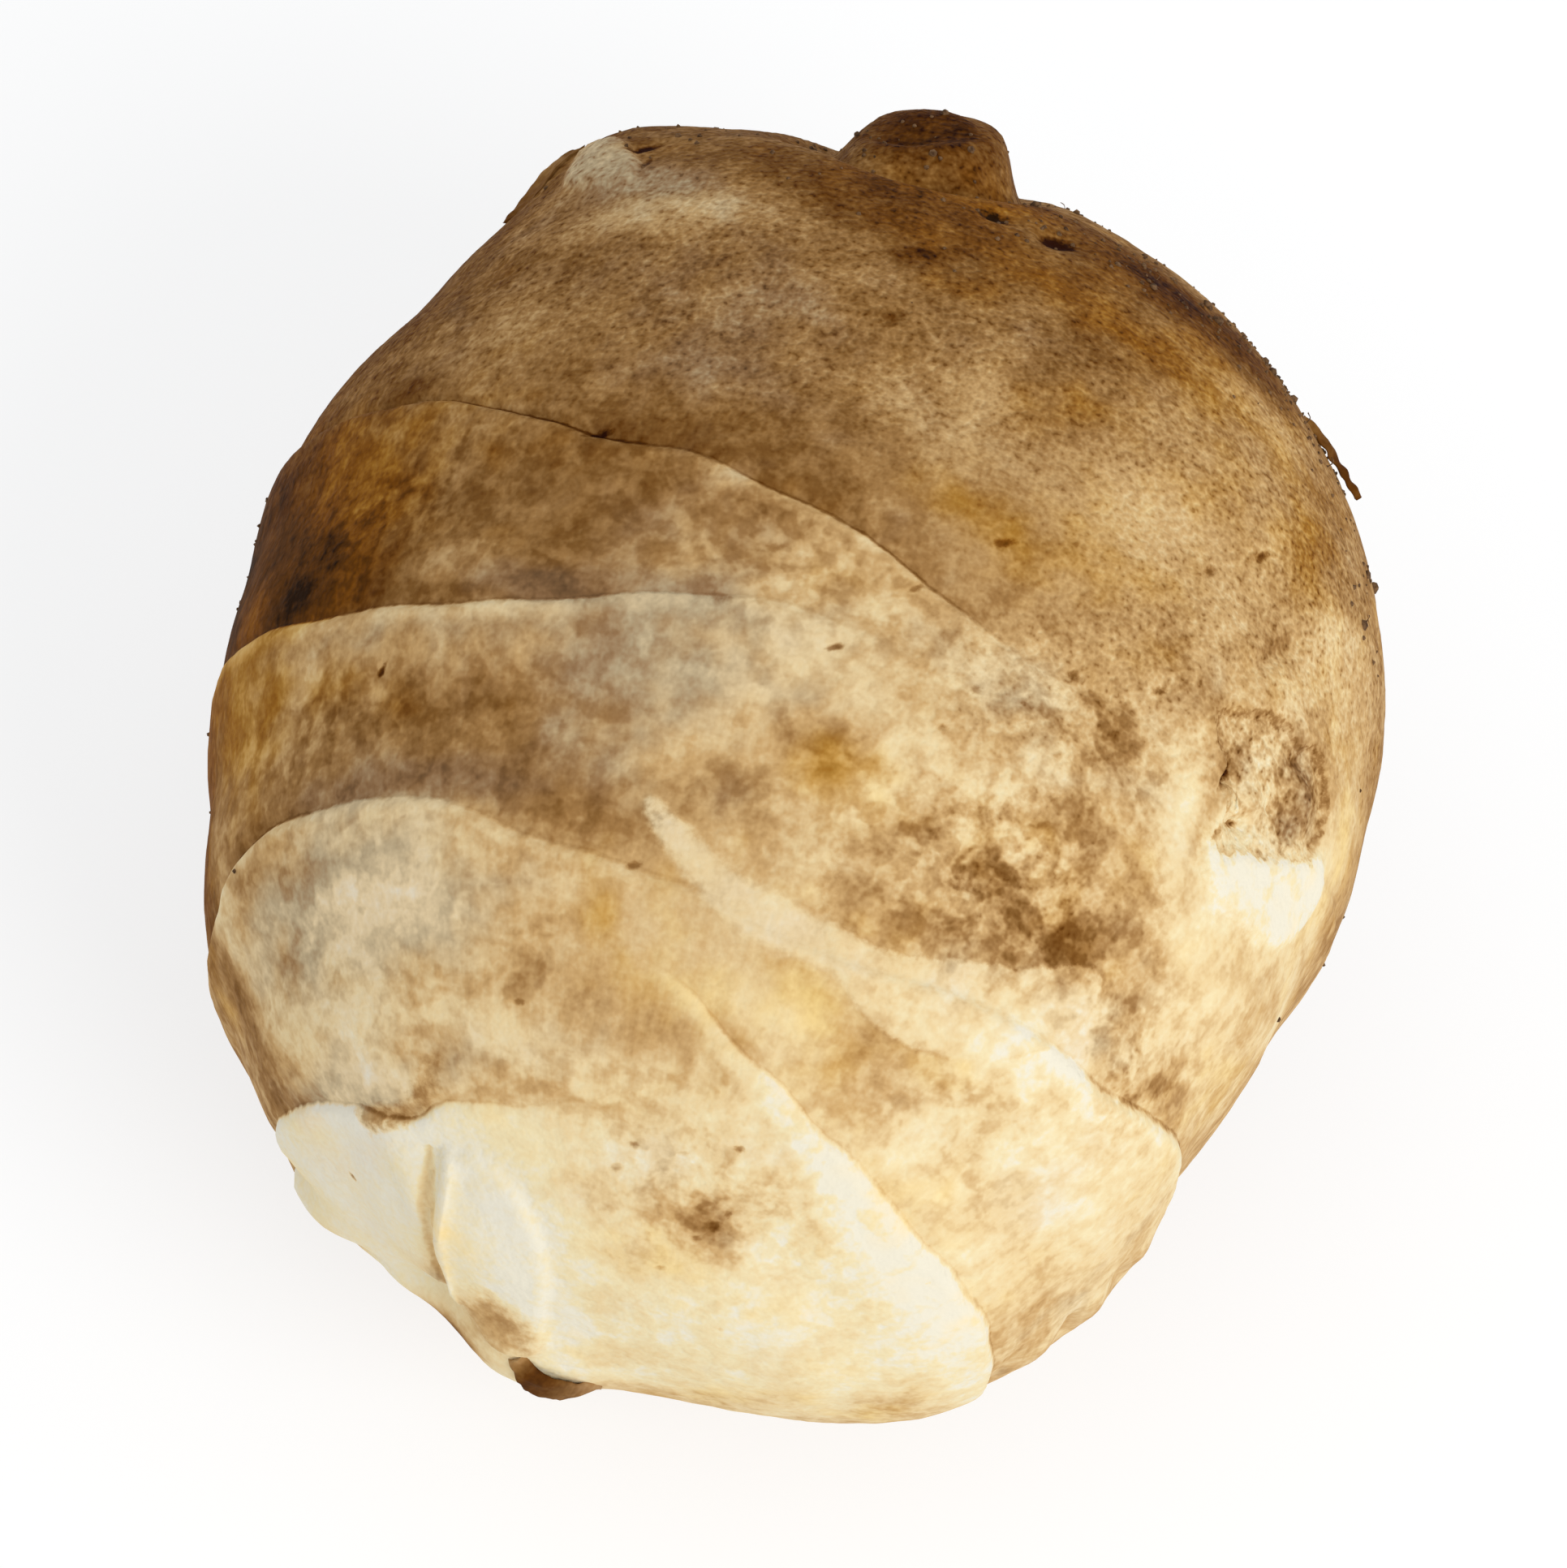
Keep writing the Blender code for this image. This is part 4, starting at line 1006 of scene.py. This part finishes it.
def skinMaterial():
    material, shader = newMaterial("tuberSkin")
    tree = material.node_tree

    def field(name):
        return addNode(tree, "ShaderNodeAttribute", attribute_name=name).outputs["Fac"]

    def add(total, pattern, amount):
        return calc(tree, "MULTIPLY_ADD", pattern, amount, total)

    def times(first, second):
        return calc(tree, "MULTIPLY", first, second)

    # a thin dark line where an edge passes: painted shade along the step, with dirt in a scar's crease
    def lineAt(edge, half, strength):
        start = skinColours["lineStart"] * mm
        return remap(tree, calc(tree, "ABSOLUTE", edge), start, skinColours[half] * mm, strength, 0)

    place = addNode(tree, "ShaderNodeTexCoord").outputs["Object"]
    flat = addNode(tree, "ShaderNodeAttribute", attribute_name="unrolled").outputs["Vector"]
    rings = calcVector(tree, "MULTIPLY", flat, (0.14, 0.14, 1))
    length = calcVector(tree, "MULTIPLY", flat, (1, 1, 0.22))
    ragged = noiseField(tree, place, 0.5, 3, 0.6)

    # the bands between the scars, each changing at its crisp edge
    total, shadeAndDirtLines = field("stain"), 0.0
    for name in scarRings:
        edge = add(field(name + "Gap"), ragged, skinColours["raggedEdge"] * mm)
        half = skinColours["edge"] * mm
        total = add(total, remap(tree, edge, -half, half), field(name + "Change"))
        shadeAndDirtLines = add(shadeAndDirtLines, lineAt(edge, "scarLine", 1), field(name + "Crease"))
    for name, patch in patches.items():
        edge = add(field(name + "Gap"), ragged, patch["ragged"] * mm)
        inside = remap(tree, edge, -patch["soft"] * mm, patch["soft"] * mm, 0, patch["hold"])
        total = mixValue(tree, inside, total, patch["stain"])
        shadeAndDirtLines = calc(tree, "ADD", shadeAndDirtLines, lineAt(edge, "patchLine", patch["line"]))

    # blotches, from clouds down to the grain
    cloudy = noiseField(tree, place, 4.5, 2, 0.5)
    blotches = remap(tree, noiseField(tree, place, 2.1, 3, 0.55, 0.45), -0.11, 0.11, -0.5, 0.5)
    fine = noiseField(tree, place, 0.75, 2, 0.5)
    spots = remap(tree, fine, -0.09, 0.09, -0.5, 0.5)
    grain = noiseField(tree, place, 0.28, 1, 0.5)
    streaky = noiseField(tree, length, 0.6, 2, 0.6)
    ringy = noiseField(tree, rings, 0.6, 2, 0.6)
    pores = remap(tree, grain, 0.14, 0.26)
    held, rough = field("mottle"), field("rough")
    for name, pattern in (
        ("cloudy", cloudy), ("mottle", times(blotches, held)), ("spots", times(spots, held)),
        ("grain", times(grain, calc(tree, "ADD", rough, 0.6))), ("streaks", times(streaky, field("streak"))),
        ("bandings", times(ringy, field("wrinkle"))), ("pores", times(pores, rough)), ("shadeAndDirtLines", shadeAndDirtLines),
    ):
        total = add(total, pattern, skinColours[name])

    # marks: small dark ovals
    edge = add(field("markGap"), ragged, skinColours["raggedMarks"])
    dark = times(remap(tree, edge, -0.7, 0.5, 1, 0), field("markDark"))
    total = calc(tree, "MULTIPLY_ADD", dark, skinColours["marks"], total, clamp=True)

    ramp = addNode(tree, "ShaderNodeValToRGB", {0: total})
    stops = ramp.color_ramp.elements
    while len(stops) < len(skinColours["ramp"]):
        stops.new(0.5)
    for stop, (level, colour) in zip(stops, skinColours["ramp"]):
        stop.position = level
        stop.color = (*colour, 1)

    # the tints keep the lightness of the skin under them
    hue = add(field("tint"), noiseField(tree, place, 2.6, 2, 0.6), skinColours["hueNoise"])
    lightness = addNode(tree, "ShaderNodeRGBToBW", {0: ramp.outputs[0]})

    def tone(name):
        goal = np.array(skinColours[name])
        goal = goal / (goal @ (0.2126, 0.7152, 0.0722))
        return calcVector(tree, "SCALE", tuple(goal), lightness.outputs[0])

    warm = mixColour(tree, remap(tree, total, 0.22, 0.64), tone("straw"), tone("ochre"))
    warm = mixColour(tree, remap(tree, total, 0.52, 0.80), warm, tone("rust"))
    cool = mixColour(tree, remap(tree, total, 0.0, 0.28), tone("pale"), tone("grey"))
    cool = mixColour(tree, remap(tree, total, 0.38, 0.68), cool, tone("mauve"))
    full = skinColours["fullHue"]
    colour = mixColour(tree, remap(tree, hue, 0, full), ramp.outputs[0], warm)
    plug(tree, shader, "Base Color", mixColour(tree, remap(tree, hue, 0, -full), colour, cool))

    gloss = remap(tree, total, 0.1, 0.6, *skinColours["roughness"])
    gloss = calc(tree, "MULTIPLY_ADD", fine, skinColours["roughnessNoise"], gloss, clamp=True)
    plug(tree, shader, "Roughness", gloss)
    plug(tree, shader, "Specular IOR Level", skinColours["specular"])
    grit = times(grain, calc(tree, "ADD", rough, 0.35))
    addBump(tree, shader, calc(tree, "ADD", grit, fine), *skinColours["bump"])
    return material


soilLook = {
    "dark": (0.05, 0.022, 0.008),
    "light": (0.20, 0.11, 0.05),
    "size": 0.3,
    "roughness": 0.9,
    "specular": 0.2,
    "bump": (0.5, 0.05),
}


def soilMaterial():
    material, shader = newMaterial("soil")
    tree = material.node_tree
    place = addNode(tree, "ShaderNodeTexCoord").outputs["Object"]
    shade = remap(tree, noiseField(tree, place, soilLook["size"], 3, 0.6), -0.2, 0.2)
    dark, light = ((*soilLook[name], 1) for name in ("dark", "light"))
    plug(tree, shader, "Base Color", mixColour(tree, shade, dark, light))
    plug(tree, shader, "Roughness", soilLook["roughness"])
    plug(tree, shader, "Specular IOR Level", soilLook["specular"])
    addBump(tree, shader, shade, *soilLook["bump"])
    return material


# keeps a piece inside the CAD tuber's own box
def keepInBox(mesh):
    points = np.empty(len(mesh.vertices) * 3, np.float32)
    mesh.vertices.foreach_get("co", points)
    points = np.clip(points.reshape(-1, 3), np.array(cadLow), np.array(cadHigh))
    mesh.vertices.foreach_set("co", points.ravel())
    mesh.update()


def finishPiece(piece):
    keepInBox(piece.data)
    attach(piece, "root")
    triangles = sum(len(face.vertices) - 2 for face in piece.data.polygons)
    print(piece.name, "made,", triangles, "triangles")


tuberFinish = skinMaterial()


def makeTuber():
    plain = meshFrom("plainTuber", middle + rays * radius[:, None], squares)
    for name, values in fields.items():
        addField(plain.data, name, values)
    addField(plain.data, "unrolled", unroll(along, around))
    piece = grow(plain, reliefTree(), {"Material": tuberFinish, "Seed": 3}, "tuberSkin")
    bpy.data.objects.remove(plain)
    return piece


tuberSkin = makeTuber()
skinCaster = BVHTree.FromObject(tuberSkin, bpy.context.evaluated_depsgraph_get())


# Scale leaves and torn skin, each a thin closed shell laid on the skin. left and right are its edges
# from base to tip, lift is how far it stands off from base to tip, curl is how far its edges turn up,
# crown is the rise in its middle, and thick is its thickness, all in mm.
scaleLeaves = {
    "sideBudFlap": {
        "left": [(131, -60), (133, -60), (136, -58), (139, -56)],
        "right": [(132, -56), (134, -55), (137, -54), (139, -53)],
        "lift": (-0.1, 0.05, 0.1, 0.0), "curl": (0.25, 0.05), "crown": 0.05, "thick": 0.3,
        "stain": (0.80, 0.76, 0.66, 0.72), "tint": 0.0,
    },
    "tipBud": {
        "left": [(11, -130), (12, -146), (14, -163), (13, -177)],
        "right": [(9, -128), (9, -141), (9, -161), (11, -178)],
        "lift": (-0.1, 0.30, 0.30, -0.2), "curl": (0.0, 0.0), "crown": 0.3, "thick": 0.4,
        "stain": (0.50, 0.86, 0.74, 0.60, 0.46), "tint": -0.2,
    },
    "shoulderFlake": {
        "left": [(135, 66), (133, 69), (131, 72), (128.2, 73.8)],
        "right": [(134.6, 65.6), (132.4, 67.6), (130.3, 70.6), (128, 73.6)],
        "lift": (-0.05, 0.25, 0.35, 0.45), "curl": (0.15, -0.1), "crown": 0.1, "thick": 0.18,
        "stain": (0.66, 0.78, 0.82, 0.80), "tint": 0.0,
    },
}
leafRows, leafColumns = 40, 15
leafShake, shakeFineness = 0.12, 60     # mm by which a leaf's surface wavers, and how finely
leafRim = 3                             # squares over which a leaf thins out towards its rim


# points spread evenly along a line
def spread(line, count):
    run = np.concatenate([[0], np.cumsum(np.linalg.norm(np.diff(line, axis=0), axis=1))])
    steps = np.linspace(0, run[-1], count)
    return unit(np.stack([np.interp(steps, run, line[:, axis]) for axis in range(3)], axis=1))


# a value at each share of the way along evenly spaced ones
def between(share, values):
    return np.interp(share, np.linspace(0, 1, len(values)), values)


# the two faces of a leaf share the points of its rim
def leafFaces():
    number = np.arange(leafRows * leafColumns).reshape(leafRows, leafColumns)
    below = number + number.size
    for edge in (np.s_[0, :], np.s_[-1, :], np.s_[:, 0], np.s_[:, -1]):
        below[edge] = number[edge]
    faces = []
    for grid, step in ((number, 1), (below, -1)):
        corners = [grid[:-1, :-1], grid[1:, :-1], grid[1:, 1:], grid[:-1, 1:]][::step]
        faces.append(np.stack(corners, -1).reshape(-1, 4))
    return np.concatenate(faces)


# drops loose points and turns the faces outwards. a corner square is split from its corner, so that
# the two faces never share a diagonal
def closeLeaf(mesh):
    net = bmesh.new()
    net.from_mesh(mesh)
    bmesh.ops.delete(net, geom=[point for point in net.verts if not point.link_faces], context="VERTS")
    for corner in [point for point in net.verts if len(point.link_faces) == 2]:
        for face in list(corner.link_faces):
            ring = list(face.verts)
            bmesh.utils.face_split(face, corner, ring[(ring.index(corner) + 2) % 4])
    bmesh.ops.recalc_face_normals(net, faces=net.faces)
    if net.calc_volume(signed=True) < 0:
        bmesh.ops.reverse_faces(net, faces=net.faces)
    net.to_mesh(mesh)
    net.free()


def makeLeaf(name, leaf):
    u = np.linspace(0, 1, leafRows)[:, None]
    v = np.linspace(0, 1, leafColumns)[None, :]
    left, right = (spread(lineOver(leaf[side]), leafRows)[:, None, :] for side in ("left", "right"))
    sheet = unit(left * (1 - v[..., None]) + right * v[..., None])
    flat = sheet.reshape(-1, 3)
    shake = np.array([noise.noise(Vector(ray) * shakeFineness) for ray in flat])
    lift = between(u, leaf["lift"]) + leaf["curl"][0] * (1 - v) ** 3 + leaf["curl"][1] * v**3
    lift = lift + leaf["crown"] * 4 * v * (1 - v) + leafShake * shake.reshape(leafRows, leafColumns)
    height = (castRays(skinCaster, flat).reshape(leafRows, leafColumns) + lift * mm)[..., None]
    rim = np.minimum(np.minimum(u, 1 - u) * leafRows, np.minimum(v, 1 - v) * leafColumns) / leafRim
    thick = (leaf["thick"] * mm * np.sqrt(np.clip(rim, 0, 1)))[..., None]
    top, under = ((middle + sheet * far).reshape(-1, 3) for far in (height, height - thick))
    piece = meshFrom(name, np.concatenate([top, under]), leafFaces())
    closeLeaf(piece.data)

    out = unit(np.array([point.co for point in piece.data.vertices]) - middle)
    row = (out @ flat.T).argmax(axis=1) // leafColumns / (leafRows - 1)
    held = {key: -skin["farGap"] * mm if key.endswith("Gap") else 0.0 for key in fields}
    held.update(markGap=skin["farMark"], stain=between(row, leaf["stain"]), tint=leaf["tint"])
    held.update(mottle=0.25, wrinkle=0.2, streak=0.6)
    for key, values in held.items():
        addField(piece.data, key, values + np.zeros(len(out)))
    addField(piece.data, "unrolled", unroll(*placeAngles(out)))
    piece.data.materials.append(tuberFinish)
    piece.data.shade_smooth()
    return piece


# Soil grains and root hairs, in geometry nodes: how many per square metre where there is soil, their
# smallest and largest size in mm, and the seed
scatters = {
    "soilGrains": {"density": 1.5e6, "smallest": 0.04, "largest": 0.13, "seed": 5},
    "soilCrumbs": {"density": 1.2e5, "smallest": 0.12, "largest": 0.30, "seed": 8},
    "rootHairs": {"density": 3e4, "smallest": 0.3, "largest": 0.8, "seed": 11},
}
grainTurns = (-3, -3, -3), (0, 0, 2 * math.pi)  # the least and most they turn, in radians
hairTurns = (-0.4, -0.4, 0), (0.4, 0.4, 6.2)
shakenBy, shakenSize = 0.16 * mm, 0.15 * mm     # how far the grains' surface is moved, and how finely
hairShape = {"Resolution": 5, "Start": (0, 0, -0.1), "Middle": (0.1, 0.05, 0.5), "End": (0.7, 0.2, 0.4)}
hairRing = {"Resolution": 4, "Radius": 0.035}


# one grain, or one bent hair 1 m long that the tree scales down
def grainShape(tree, hair):
    if not hair:
        return addNode(tree, "GeometryNodeMeshIcoSphere", {"Radius": 1.0, "Subdivisions": 1}).outputs[0]
    bend = addNode(tree, "GeometryNodeCurveQuadraticBezier", hairShape).outputs[0]
    ring = addNode(tree, "GeometryNodeCurvePrimitiveCircle", hairRing).outputs[0]
    inputs = {"Curve": bend, "Profile Curve": ring, "Fill Caps": True}
    return addNode(tree, "GeometryNodeCurveToMesh", inputs).outputs[0]


def scatterTree(name, plan):
    hair = name == "rootHairs"
    low, high = hairTurns if hair else grainTurns
    tree, given = startTree(name, Density=plan["density"], Smallest=plan["smallest"] * mm,
                            Largest=plan["largest"] * mm)
    seed = given.outputs["Seed"]
    density = calc(tree, "MULTIPLY", given.outputs["Density"], namedField(tree, "soil"))
    inputs = {"Mesh": given.outputs["Geometry"], "Density": density, "Seed": seed}
    points = addNode(tree, "GeometryNodeDistributePointsOnFaces", inputs)
    inputs = {2: given.outputs["Smallest"], 3: given.outputs["Largest"], "Seed": seed}
    size = addNode(tree, "FunctionNodeRandomValue", inputs, data_type="FLOAT")
    spin = addNode(tree, "FunctionNodeRandomValue", {0: low, 1: high, "Seed": seed}, data_type="FLOAT_VECTOR")
    inputs = {"Points": points.outputs["Points"], "Instance": grainShape(tree, hair),
              "Rotation": points.outputs["Rotation"], "Scale": size.outputs[1]}
    place = addNode(tree, "GeometryNodeInstanceOnPoints", inputs)
    inputs = {"Instances": place.outputs[0], "Rotation": spin.outputs[0]}
    turn = addNode(tree, "GeometryNodeRotateInstances", inputs)
    loose = addNode(tree, "GeometryNodeRealizeInstances", {0: turn.outputs[0]})
    inputs = {"Scale": 1 / shakenSize, "Vector": addNode(tree, "GeometryNodeInputPosition").outputs[0]}
    shaken = addNode(tree, "ShaderNodeTexNoise", inputs)
    centred = calcVector(tree, "SUBTRACT", shaken.outputs[1], (0.5, 0.5, 0.5))
    moved = moveBy(tree, loose.outputs[0], calcVector(tree, "SCALE", centred, shakenBy))
    return closeTree(tree, given, moved)


soilFinish = soilMaterial()

for name, plan in scatters.items():
    given = {"Material": soilFinish, "Seed": plan["seed"]}
    finishPiece(grow(tuberSkin, scatterTree(name, plan), given, name))
for name, leaf in scaleLeaves.items():
    finishPiece(makeLeaf(name, leaf))
finishPiece(tuberSkin)
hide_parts("tuber")
